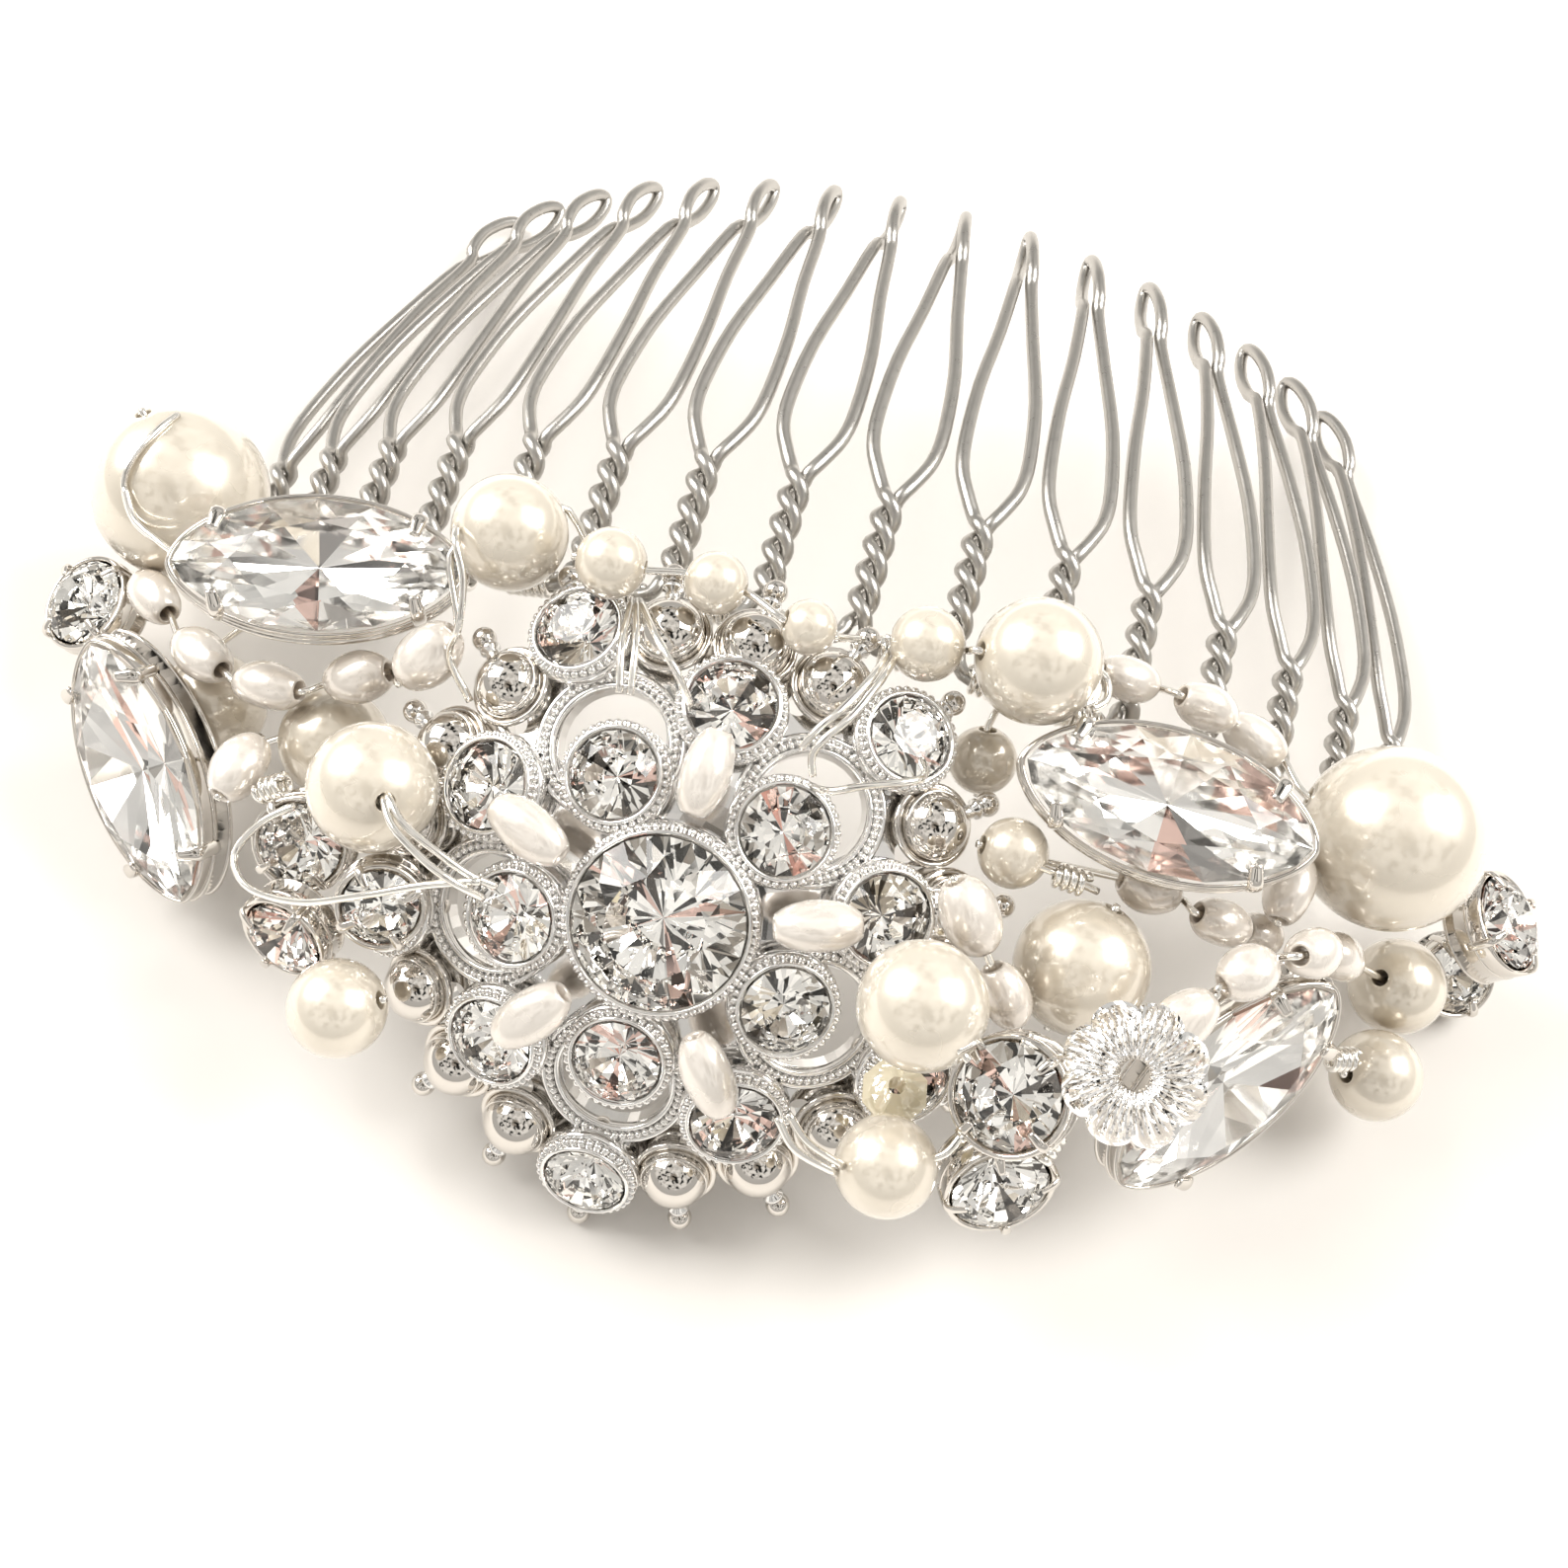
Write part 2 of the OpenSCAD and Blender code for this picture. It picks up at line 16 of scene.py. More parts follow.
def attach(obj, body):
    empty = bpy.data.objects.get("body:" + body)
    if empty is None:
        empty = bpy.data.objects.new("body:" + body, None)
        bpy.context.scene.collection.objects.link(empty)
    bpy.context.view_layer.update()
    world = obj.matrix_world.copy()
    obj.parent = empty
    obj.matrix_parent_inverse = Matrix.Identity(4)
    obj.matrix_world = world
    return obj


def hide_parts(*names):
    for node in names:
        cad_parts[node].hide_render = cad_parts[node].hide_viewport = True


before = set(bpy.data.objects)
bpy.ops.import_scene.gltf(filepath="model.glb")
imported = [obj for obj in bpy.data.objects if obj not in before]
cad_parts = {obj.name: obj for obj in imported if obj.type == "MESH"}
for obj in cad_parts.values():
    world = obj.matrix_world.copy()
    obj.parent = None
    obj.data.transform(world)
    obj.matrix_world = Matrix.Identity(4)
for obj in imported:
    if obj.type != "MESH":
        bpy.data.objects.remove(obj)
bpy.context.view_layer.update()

bl_info = {
    "name": "Tiara comb",
    "version": (1, 0, 0),
    "blender": (4, 5, 0),
    "location": "3D View > Sidebar > Tiara comb",
    "description": "Wire comb with a domed brooch, pearls and crystals wired to its bar",
    "category": "Add Mesh",
}

MM = 0.001
FULL_TURN = 2 * math.pi
# The round wire keeps inside the frame's five-sided one: a little thinner, and a little higher
WIRE_SHARE = 0.95
FLOOR_CLEAR = 0.03 * MM
# A smooth pearl's size as a share of the faceted one in the frame
PEARL_SHARE = 0.998
# How the comb lies: turned about X, then about Y, then put in its place
REST_TIP = math.radians(5.3)
REST_LEAN = math.radians(-1.3)
REST_PLACE = Vector((-0.37, 5.02, 19.02)) * MM
AT_REST = (
    Matrix.Translation(REST_PLACE)
    @ Matrix.Rotation(REST_LEAN, 4, "Y")
    @ Matrix.Rotation(REST_TIP, 4, "X")
)

# The power that bends the teeth down towards their tips
TIP_BEND = 1.4
# One half of a tooth's leg: share of the tooth's length, half gap as a share of the pitch
LEG = [
    (0.05, 0.22),
    (0.11, 0.33),
    (0.20, 0.37),
    (0.38, 0.33),
    (0.58, 0.20),
    (0.78, 0.10),
]
# One half of the eye at the tip: share of the length, side step and step off the middle line, mm
EYE = [
    (0.83, 0.3, 0.6),
    (0.90, 0.1, 0.95),
    (0.97, 0, 0.65),
]

# Rings of brooch stones: node, distance out and size as settings name them, first angle
BROOCH_RINGS = [
    ("brooch_inner_stones", "inner_out", "chaton_d", 36),
    ("brooch_outer_stones", "outer_out", "chaton_d", 0),
    ("brooch_rim_stones", "rim_out", "rim_stone_d", 36),
]

PEARLS = [name for name in sorted(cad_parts) if name.startswith("pearl_")]
# The power that draws a navette's sides in to its ends
NAVETTE_DRAW = 1.25
NAVETTES = ["navette_left_top", "navette_left_front", "navette_right_top", "navette_right_front"]
CHATONS = [name[:-6] for name in sorted(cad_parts)
           if name.startswith("chaton_") and name.endswith("_stone")]

# Solids of one node are counted along this direction
SORT_ALONG = (1, -0.05, 0)


def rice(side, *places):
    """Rice pearls of one side, by their places along SORT_ALONG."""
    return [("rice_pearls_" + side, place) for place in places]


# Threads of each wire node: bar link at the start or None, beads in order, bar link at the end or None
THREADS = {
    "wires_left": [
        (0, ["pearl_left_end"], None),
        (None, rice("left", 0, 1, 2, 4, 5) + ["pearl_left_top"], 5),
        (1, ["pearl_left_hidden", "pearl_left_low", "pearl_left_front"], None),
        (None, rice("left", 3), None),
        (None, ["pearl_left_wired"], None),
    ],
    "wires_back": [
        (None, ["pearl_back_1", "pearl_back_2", "pearl_back_3"], 8),
    ],
    "wires_right": [
        (None, ["pearl_right_small_1", "pearl_right_top", *rice("right", 2, 4, 6), "pearl_right_end"], None),
        (9, ["pearl_right_small_2"], None),
        (None, ["pearl_right_small_3", *rice("right", 3, 7, 9)], None),
        (None, [*rice("right", 5, 8, 11, 12), "pearl_right_side_1"], None),
        (None, rice("right", 0, 1), None),
        (None, rice("right", 10), None),
        (None, ["pearl_right_front"], None),
        (None, ["pearl_right_big"], None),
        (None, ["pearl_right_low"], None),
        (None, ["pearl_right_side_2"], None),
    ],
}

# Loose ends and loops of each wire node: places in degrees along the arch, Y and lift, mm
LOOSE_WIRES = {
    "wires_left": [
        [(-40, -3.5, 9.3), (-40, -5, 10), (-40.5, -7, 10.4), (-41, -8.5, 10), (-41, -10, 8.5),
         (-39, -11, 7), (-36.5, -12.5, 7)],
        [(-41, -8.5, 10), (-40.5, -10, 9), (-39, -11, 8), (-37, -12, 7.5)],
        [(-19, -10, 6.7), (-18.5, -11, 7), (-18, -12.5, 6), (-18, -14.5, 5), (-19, -15.5, 3.5),
         (-18, -17, 1.7)],
        [(-18.7, -24, 5), (-18, -24.6, 6), (-17, -25.8, 6), (-15, -27, 5.3), (-13.5, -27.5, 4.5),
         (-12.5, -27.5, 3)],
        [(-18.6, -23.9, 5), (-17.8, -24.4, 6), (-16.6, -25.5, 5.8), (-14.8, -26.3, 5),
         (-13.2, -26.8, 4), (-12, -26.8, 3)],
        [(-26.5, -24, 2.5), (-28.5, -25, 2.5), (-30, -26.5, 2.2), (-29.5, -27.7, 2), (-27.5, -28.6, 2),
         (-23.5, -29, 2.5), (-19, -28.5, 3.5), (-15.5, -27.7, 4), (-12.5, -27, 4)],
    ],
    "wires_back": [
        [(-9.5, -11, 3.5), (-8.7, -14.2, 5), (-8.2, -16.5, 4.5)],
        [(-9.2, -11, 3.5), (-8, -14, 5), (-7.6, -16.5, 4.5)],
        [(-9, -11, 3.5), (-7, -13.5, 5), (-5.5, -15, 5), (-4.5, -16, 3.3)],
        [(5.5, -10.5, 3), (5, -12.5, 4.5), (4, -15, 5), (2.9, -16.5, 4.8), (2.5, -17.3, 4.2),
         (2.8, -18, 3.5)],
        [(5, -10.5, 3), (4.5, -12.5, 4.5), (3.4, -14.8, 5), (2.5, -16, 4.8), (1.8, -17, 4)],
        [(3, -18, 2), (4, -18.5, 3.5), (5.5, -18, 4), (8, -17, 4), (8.7, -16, 3), (8.5, -15, 2)],
    ],
    "wires_right": [
        [(16, -18.3, 1.8), (17, -18.1, 1.5), (18.5, -18, 1.2), (21, -18, 1)],
        [(17, -27.5, 3.5), (18.6, -27.6, 3.5), (19.7, -28.5, 3), (20.4, -29.5, 2.5), (20.5, -30.5, 2),
         (20.6, -31.2, 1)],
        [(17.5, -27, 3.2), (19.4, -27.1, 3.2), (20.6, -28, 2.8), (21.4, -29.2, 2.2), (21.6, -30.5, 1.5),
         (21.6, -31.4, 0)],
        [(13, -29.5, 5.5), (14, -28.7, 5.2), (14.8, -28.5, 4)],
        [(5.7, -34, 2), (7.2, -35, 1), (10, -35.2, -0.5)],
        [(6.2, -33.7, 2), (7.7, -34.5, 1), (10.3, -34.8, -0.5)],
        [(14.5, -33.5, -0.5), (15.5, -33, 0.5), (16, -32, 1)],
        [(16, -8.5, 5), (17, -8.7, 4.5), (17.2, -9.7, 4.5), (16.5, -10.5, 4.5)],
        [(15.5, -9, 5.2), (16.4, -9.3, 4.8), (16.4, -10.1, 4.8), (15.9, -10.6, 4.8)],
    ],
}
# Small coils of each wire node: middle in degrees, Y and lift, mm, then the axis along the arch,
# along Y and outwards
COILS = {
    "wires_left": [((-29.5, -22.8, 1.8), (1, 0.3, 0))],
    "wires_back": [],
    "wires_right": [
        ((19, -18, 1.2), (1, 0, 0.1)),
        ((42, -20.5, 1.5), (0.8, 0.3, 0.2)),
        ((21.8, -30.8, 0), (0.3, 1, 0.2)),
    ],
}
COIL_TURNS = 4
# Links of the bar that each wire node wraps
WRAPPED_LINKS = {"wires_left": range(0, 5), "wires_back": range(5, 9), "wires_right": range(9, 15)}


def length_property(name, description, millimetres):
    return bpy.props.FloatProperty(
        name=name, description=description, default=millimetres * MM,
        min=0, precision=5, unit="LENGTH", subtype="DISTANCE")


def colour_property(name, description, colour):
    return bpy.props.FloatVectorProperty(
        name=name, description=description, default=colour,
        min=0, max=1, size=3, subtype="COLOR")


class CombWireSettings(bpy.types.PropertyGroup):
    tooth_count: bpy.props.IntProperty(name="Teeth", description="Number of teeth", default=16, min=2)
    tooth_pitch: length_property("Pitch", "Distance between teeth along the arc", 5)
    comb_r: length_property("Arc radius", "Radius of the arc that the teeth stand on", 48)
    tooth_len: length_property("Tooth length", "From the twist to the tip", 25)
    tip_drop: length_property("Tip drop", "How far the tips bend towards the hair", 8.8)
    shank_len: length_property("Shank length", "Length of the twisted shank", 8)
    shank_turns: bpy.props.FloatProperty(name="Turns", description="Turns in the twist", default=2.5)
    wire_d: length_property("Wire", "Diameter of the comb wire", 0.82)
    colour: colour_property("Steel", "Colour of the comb wire", (0.47, 0.455, 0.43))


class BroochSettings(bpy.types.PropertyGroup):
    place: bpy.props.FloatVectorProperty(
        name="Place", description="Middle of the brooch in the comb's frame",
        default=(-3 * MM, -25.8 * MM, -0.65 * MM), precision=5, unit="LENGTH", subtype="TRANSLATION")
    tip: bpy.props.FloatProperty(
        name="Tip", description="Lean towards the front", default=math.radians(28), subtype="ANGLE")
    turn: bpy.props.FloatProperty(
        name="Turn", description="Turn about the middle", default=math.radians(14), subtype="ANGLE")
    dome_r: length_property("Dome", "Radius of the dome that the stones lie on", 28.5)
    middle_d: length_property("Middle stone", "Diameter of the middle stone", 8.6)
    chaton_d: length_property("Inner stones", "Diameter of the ten inner stones", 4.4)
    rim_stone_d: length_property("Rim stones", "Diameter of the five rim stones", 4.2)
    inner_out: length_property("Inner ring", "Distance of the inner stones from the middle", 7.5)
    outer_out: length_property("Outer ring", "Distance of the outer stones from the middle", 11)
    rim_out: length_property("Rim ring", "Distance of the rim stones from the middle", 14.9)
    bead_out: length_property("Bead ring", "Distance of the polished beads from the middle", 14.4)
    bead_d: length_property("Polished bead", "Diameter of a polished bead", 3.6)
    bead_drop: length_property("Bead drop", "Depth of a bead's or a rim tip's middle under the dome", 1)
    ball_d: length_property("Tip ball", "Diameter of a ball at a tip", 1.3)
    bead_reach: length_property("Bead's tip", "From a polished bead's middle to its ball", 3.3)
    stone_reach: length_property("Stone's tip", "From a rim stone's middle to its ball", 3.55)
    loop_out: length_property("Loop place", "Distance of the petal loops from the middle", 9.3)
    loop_r: length_property("Loop radius", "Radius of a petal loop", 3.4)
    plate_r: length_property("Plate radius", "Radius of the pierced plate", 14.3)
    plate_drop: length_property("Plate drop", "Depth of the plate under the stones' girdles", 1.8)
    plate_thick: length_property("Plate thickness", "Thickness of the pierced plate", 0.8)
    grain_d: length_property("Grain", "Diameter of the grains along the edges", 0.46)
    colour: colour_property("Silver", "Colour of the silver plate", (0.87, 0.845, 0.80))
    polish: colour_property("Polished silver", "Colour of the brooch's beads and balls", (0.70, 0.67, 0.63))
    # Painted shade: the colour laid into the plate's narrow corners
    painted_corner_shade: colour_property("Painted corner shade", "Colour of the plate in its narrow corners", (0.13, 0.11, 0.09))


class BeadSettings(bpy.types.PropertyGroup):
    hole_d: length_property("Hole", "Diameter of the drilled holes", 0.9)
    thread_d: length_property("Binding wire", "Diameter of the binding wire", 0.4)
    wraps: bpy.props.IntProperty(name="Wraps", description="Turns of wire round each bar link", default=5)
    pearl_colour: colour_property("Pearl", "Colour of the round pearls", (0.75, 0.69, 0.59))
    # The deeper colour of the faint clouds, and of the painted shade near neighbours
    pearl_clouds_and_shade: colour_property("Pearl's clouds and shade", "Deeper colour in a round pearl", (0.42, 0.35, 0.25))
    rice_colour: colour_property("Rice pearl", "Colour of the rice pearls", (0.81, 0.765, 0.71))
    # The deeper colour of the faint clouds, and of the painted shade near neighbours
    rice_clouds_and_shade: colour_property("Rice pearl's clouds and shade", "Deeper colour in a rice pearl", (0.48, 0.40, 0.32))
    wire_colour: colour_property("Silver wire", "Colour of the binding wire", (0.90, 0.88, 0.84))


class StoneSettings(bpy.types.PropertyGroup):
    ior: bpy.props.FloatProperty(
        name="Refraction", description="Index of refraction of crystal", default=1.58)
    crystal: colour_property("Crystal", "Colour of the clear crystal", (1.0, 1.0, 1.0))
    # Painted reflection: a warm tint laid on a few of the foil's facets
    painted_blush: colour_property("Blush", "Tint of a few facets", (0.80, 0.58, 0.52))
    foil: colour_property("Foil", "Colour of the foil behind the stones", (0.98, 0.975, 0.96))
    # Painted dark reflections: colours laid on a few of the foil's facets, for the round stones and the
    # boat-shaped stones
    foil_shade: colour_property("Foil in shade", "Colour of the foil's dark facets", (0.12, 0.11, 0.10))
    navette_shade: colour_property("Boat foil in shade", "Dark facets of the boat-shaped stones' foil",
                                   (0.45, 0.44, 0.43))
    flower: colour_property("Flower", "Colour of the glass flower", (0.74, 0.71, 0.67))
    champagne: colour_property("Champagne", "Colour of the bicone bead", (0.86, 0.74, 0.52))
    claw_d: length_property("Claw", "Width of a claw", 0.5)
    wall: length_property("Wall", "Wall of a setting", 0.22)
    stone_gap: length_property("Gap", "Space between a stone and its setting", 0.08)


class StageSettings(bpy.types.PropertyGroup):
    floor_side: bpy.props.FloatProperty(
        name="Floor", description="Side of the floor", default=3, unit="LENGTH", subtype="DISTANCE")
    floor_colour: colour_property("Floor colour", "Colour of the pale floor", (0.80, 0.775, 0.745))
    sky: bpy.props.FloatProperty(name="Sky", description="Brightness of the room", default=0.58)
    window_power: bpy.props.FloatProperty(
        name="Windows", description="Power of each window light in watts", default=4.2, unit="POWER")


SETTINGS = {
    "tiara_comb_wire": CombWireSettings,
    "tiara_brooch": BroochSettings,
    "tiara_beads": BeadSettings,
    "tiara_stones": StoneSettings,
    "tiara_stage": StageSettings,
}


class Value:
    """A node's output, so that shader maths reads as a Python expression."""

    def __init__(self, tree, socket):
        self.tree = tree
        self.socket = socket

    def maths(self, operation, first, second):
        node = self.tree.nodes.new("ShaderNodeMath")
        node.operation = operation
        for place, term in enumerate((first, second)):
            if isinstance(term, Value):
                self.tree.links.new(term.socket, node.inputs[place])
            else:
                node.inputs[place].default_value = term
        return Value(self.tree, node.outputs[0])

    def __add__(self, other):
        return self.maths("ADD", self, other)

    def __radd__(self, other):
        return self.maths("ADD", other, self)

    def __rsub__(self, other):
        return self.maths("SUBTRACT", other, self)

    def __rmul__(self, other):
        return self.maths("MULTIPLY", other, self)

    def __pow__(self, other):
        return self.maths("POWER", self, other)


class Shading:
    """The nodes of a material or of the world."""

    def __init__(self, tree):
        self.tree = tree
        tree.nodes.clear()

    def node(self, kind, settings=None, values=None, output=0):
        """A new node. Its settings come first, a ramp's stops among them, then its sockets."""
        made = self.tree.nodes.new(kind)
        for name, setting in (settings or {}).items():
            if name == "interpolation":
                made.color_ramp.interpolation = setting
            elif name == "stops":
                ramp = made.color_ramp
                ramp.elements[0].position, ramp.elements[0].color = setting[0]
                ramp.elements[1].position, ramp.elements[1].color = setting[-1]
                for position, colour in setting[1:-1]:
                    ramp.elements.new(position).color = colour
            else:
                setattr(made, name, setting)
        for name, value in (values or {}).items():
            if isinstance(value, Value):
                self.tree.links.new(value.socket, made.inputs[name])
            else:
                made.inputs[name].default_value = value
        return Value(self.tree, made.outputs[output]) if made.outputs else None

    def noise(self, scale, detail=3):
        place = self.node("ShaderNodeTexCoord", output="Object")
        return self.node("ShaderNodeTexNoise", {}, {"Vector": place, "Scale": scale, "Detail": detail})

    def open_air(self, reach_mm):
        """How open the surface is within this reach: 1 in the open and less in a corner."""
        return self.node(
            "ShaderNodeAmbientOcclusion", {"samples": 4}, {"Distance": reach_mm * MM}, output="AO")

    def blend(self, factor, first, second):
        """A colour between two colours, which may be sockets."""
        return self.node(
            "ShaderNodeMix", {"data_type": "RGBA"},
            {0: factor, 6: colour4(first), 7: colour4(second)}, output=2)

    def bump(self, height, distance):
        return self.node("ShaderNodeBump", {}, {"Height": height, "Distance": distance})


def colour4(colour):
    return colour if isinstance(colour, Value) else (*colour, 1)


def material(name, values, build=None):
    """A material whose shader has these constant values, and what build links to it."""
    made = bpy.data.materials.new(name)
    made.use_nodes = True
    shading = Shading(made.node_tree)
    linked = build(shading) if build else {}
    surface = shading.node("ShaderNodeBsdfPrincipled", {}, {**values, **linked})
    shading.node("ShaderNodeOutputMaterial", {}, {"Surface": surface})
    return made


# How near a neighbour has to be for the painted shade that darkens silver plate, and a pearl
CORNER_MM = 1.3
PEARL_CORNER_MM = 6


def metal(name, colour, roughness, wear, grain, bump_mm=0.0, painted_corner_shade=None):
    """Polished or drawn metal: its roughness and colour wander by wear over patches of grain.

    painted_corner_shade is painted shade: the colour laid in its narrow corners, where neighbours block the
    light.
    """
    def build(shading):
        patches = shading.noise(1 / (grain * MM), 4)
        surface_colour = shading.blend(patches, [0.93 * c for c in colour], [min(1, 1.05 * c) for c in colour])
        if painted_corner_shade is not None:
            # Painted shade: the colour goes to painted_corner_shade where neighbours close in
            surface_colour = shading.blend(shading.open_air(CORNER_MM) ** 1.6, painted_corner_shade, surface_colour)
        linked = {"Roughness": roughness + wear * patches, "Base Color": surface_colour}
        if bump_mm:
            linked["Normal"] = shading.bump(shading.noise(8 / (grain * MM), 2), bump_mm * MM)
        return linked
    return material(name, {"Metallic": 1.0}, build)


def nacre(name, colour, shade, grain, bump_mm):
    """Pearl: a deeper colour in faint clouds, and as painted shade close to its neighbours, under a clear
    coat.
    """
    def build(shading):
        clouds = shading.noise(1 / (grain * MM), 3)
        # Painted shade: the colour deepens where neighbours and the floor close in
        closed = 1 - shading.open_air(PEARL_CORNER_MM)
        return {
            "Base Color": shading.blend(0.2 * clouds ** 2 + 0.75 * closed, colour, shade),
            "Roughness": 0.22 + 0.10 * clouds,
            "Normal": shading.bump(shading.noise(2 / (grain * MM), 2), bump_mm * MM),
        }
    return material(name, {
        "Metallic": 0.35, "Coat Weight": 1.0, "Coat Roughness": 0.05, "Coat IOR": 1.9}, build)


def crystal(name, colour):
    """Clear cut crystal or glass."""
    return material(name, {
        "Base Color": (*colour, 1), "Roughness": 0.0, "IOR": stones().ior, "Transmission Weight": 1.0})


def foil(name, shade, roughness=0.0):
    """The mirror behind a stone: each facet's own direction picks whether it keeps its pale colour or takes a
    painted dark or tinted reflection.
    """
    def build(shading):
        facing = shading.node("ShaderNodeNewGeometry", output="True Normal")
        near_enough = shading.node(
            "ShaderNodeVectorMath", {"operation": "SNAP"}, {0: facing, 1: (0.04, 0.04, 0.04)})
        pick = shading.node(
            "ShaderNodeTexWhiteNoise", {"noise_dimensions": "3D"}, {"Vector": near_enough})
        pale = colour4(stones().foil)
        # The dark and the tinted stops are painted reflections; the pale one is the foil's own colour
        stops = [(0.0, colour4(shade)), (0.05, pale), (0.90, colour4(stones().painted_blush)), (0.95, pale)]
        return {"Base Color": shading.node(
            "ShaderNodeValToRGB", {"interpolation": "CONSTANT", "stops": stops}, {"Fac": pick})}
    return material(name, {"Metallic": 1.0, "Roughness": roughness}, build)


def stones():
    return bpy.context.scene.tiara_stones


MATERIALS = {
    "drawn_steel": lambda name, scene: metal(
        name, scene.tiara_comb_wire.colour, roughness=0.22, wear=0.16, grain=0.6, bump_mm=0.01),
    "silver_plate": lambda name, scene: metal(
        name, scene.tiara_brooch.colour, roughness=0.06, wear=0.16, grain=1.2, bump_mm=0.012,
        painted_corner_shade=scene.tiara_brooch.painted_corner_shade),
    "silver_polish": lambda name, scene: metal(
        name, scene.tiara_brooch.polish, roughness=0.02, wear=0.05, grain=3),
    "silver_wire": lambda name, scene: metal(
        name, scene.tiara_beads.wire_colour, roughness=0.1, wear=0.12, grain=0.8),
    "round_pearl": lambda name, scene: nacre(
        name, scene.tiara_beads.pearl_colour, scene.tiara_beads.pearl_clouds_and_shade, grain=4, bump_mm=0.006),
    "rice_pearl": lambda name, scene: nacre(
        name, scene.tiara_beads.rice_colour, scene.tiara_beads.rice_clouds_and_shade, grain=1.6, bump_mm=0.03),
    "clear_crystal": lambda name, scene: crystal(name, stones().crystal),
    "flower_glass": lambda name, scene: crystal(name, stones().flower),
    "champagne_crystal": lambda name, scene: crystal(name, stones().champagne),
    "stone_foil": lambda name, scene: foil(name, stones().foil_shade),
    "navette_foil": lambda name, scene: foil(name, stones().navette_shade, roughness=0.07),
}


def get_material(name):
    found = bpy.data.materials.get(name)
    return found or MATERIALS[name](name, bpy.context.scene)


class Form:
    """Points and faces gathered for one piece. Each face remembers its material and shading."""

    def __init__(self):
        self.points = []
        self.faces = []
        self.marks = []
        self.count = 0

    def add(self, shape, place=None, slot=0, smooth=True):
        points, faces = shape
        points = np.asarray(points, float)
        if place is not None:
            turn = np.array(place)
            points = points @ turn[:3, :3].T + turn[:3, 3]
        self.points.append(points)
        self.faces += [[self.count + i for i in face] for face in faces]
        self.marks += [(slot, smooth)] * len(faces)
        self.count += len(points)
        return self

    def piece(self, name, materials, place=None):
        """Makes the object in the shared frame, riding on the one body."""
        mesh = bpy.data.meshes.new(name)
        mesh.from_pydata(np.vstack(self.points).tolist(), [], self.faces)
        if place is not None:
            mesh.transform(place)
        for label in materials:
            mesh.materials.append(get_material(label))
        mesh.polygons.foreach_set("material_index", [mark[0] for mark in self.marks])
        mesh.polygons.foreach_set("use_smooth", [mark[1] for mark in self.marks])
        mesh.update()
        made = bpy.data.objects.new(name, mesh)
        bpy.context.scene.collection.objects.link(made)
        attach(made, "root")
        return made


def quad_grid(rows, columns, round_rows=False):
    """Faces of a grid of points whose columns run round, and whose rows may too."""
    faces = []
    for i in range(rows if round_rows else rows - 1):
        for k in range(columns):
            after = (k + 1) % columns
            below = (i + 1) % rows
            faces.append((i * columns + k, i * columns + after, below * columns + after, below * columns + k))
    return faces


def turned(profile, steps=32, closed=False):
    """A shape turned about Z from a profile of (radius, height), listed from its top down."""
    angles = np.arange(steps) * FULL_TURN / steps
    points = [(r * math.cos(a), r * math.sin(a), z) for r, z in profile for a in angles]
    faces = [face[::-1] for face in quad_grid(len(profile), steps, closed)]
    if not closed:
        last = (len(profile) - 1) * steps
        faces.append(tuple(range(steps)))
        faces.append(tuple(range(last + steps - 1, last - 1, -1)))
    return points, faces


def ball(d, steps=20, rows=12):
    """A sphere whose poles are small flat caps."""
    lean = [math.radians(6) + (math.pi - math.radians(12)) * i / rows for i in range(rows + 1)]
    return turned([(d / 2 * math.sin(a), d / 2 * math.cos(a)) for a in lean], steps)


def unit(vector):
    return vector / np.linalg.norm(vector)


def tube(path, radius, sides=10, closed=False, normal=(0.3, 0.2, 1), flat=1.0):
    """A wire along a path, its rings carried on without twist.

    radius may be a list, and flat is the share of it that is left along the normal.
    """
    path = np.asarray(path, float)
    count = len(path)
    radii = np.broadcast_to(radius, count)
    if closed:
        tangents = np.roll(path, -1, 0) - np.roll(path, 1, 0)
    else:
        tangents = np.gradient(path, axis=0)
    tangents /= np.linalg.norm(tangents, axis=1)[:, None]
    across = np.array(normal, float)
    angles = np.arange(sides) * FULL_TURN / sides
    points = []
    for place, tangent, r in zip(path, tangents, radii):
        across = unit(across - (across @ tangent) * tangent)
        side = np.cross(tangent, across)
        ring = np.outer(np.cos(angles), across) * flat + np.outer(np.sin(angles), side)
        points.append(place + r * ring)
    faces = quad_grid(count, sides, closed)
    if not closed:
        last = (count - 1) * sides
        faces.append(tuple(range(sides - 1, -1, -1)))
        faces.append(tuple(range(last, last + sides)))
    return np.vstack(points), faces


def smooth_path(stops, steps=4):
    """A curve through the stops, with this many steps from each to the next."""
    stops = np.asarray(stops, float)
    ends = np.vstack([2 * stops[0] - stops[1], stops, 2 * stops[-1] - stops[-2]])
    path = []
    for i in range(len(stops) - 1):
        a, b, c, d = ends[i:i + 4]
        for t in np.arange(steps) / steps:
            path.append(0.5 * (2 * b + (c - a) * t + (2 * a - 5 * b + 4 * c - d) * t * t
                               + (3 * b - a - 3 * c + d) * t ** 3))
    path.append(stops[-1])
    return np.array(path)


def band(outline, profile):
    """A closed band round an outline: each profile row is a step outwards and a height."""
    outline = np.asarray(outline, float)
    run = np.roll(outline, -1, 0) - np.roll(outline, 1, 0)
    outward = np.column_stack([run[:, 1], -run[:, 0]])
    outward /= np.linalg.norm(outward, axis=1)[:, None]
    points = [(*(p + step * n), z) for step, z in profile for p, n in zip(outline, outward)]
    return points, [face[::-1] for face in quad_grid(len(profile), len(outline), True)]


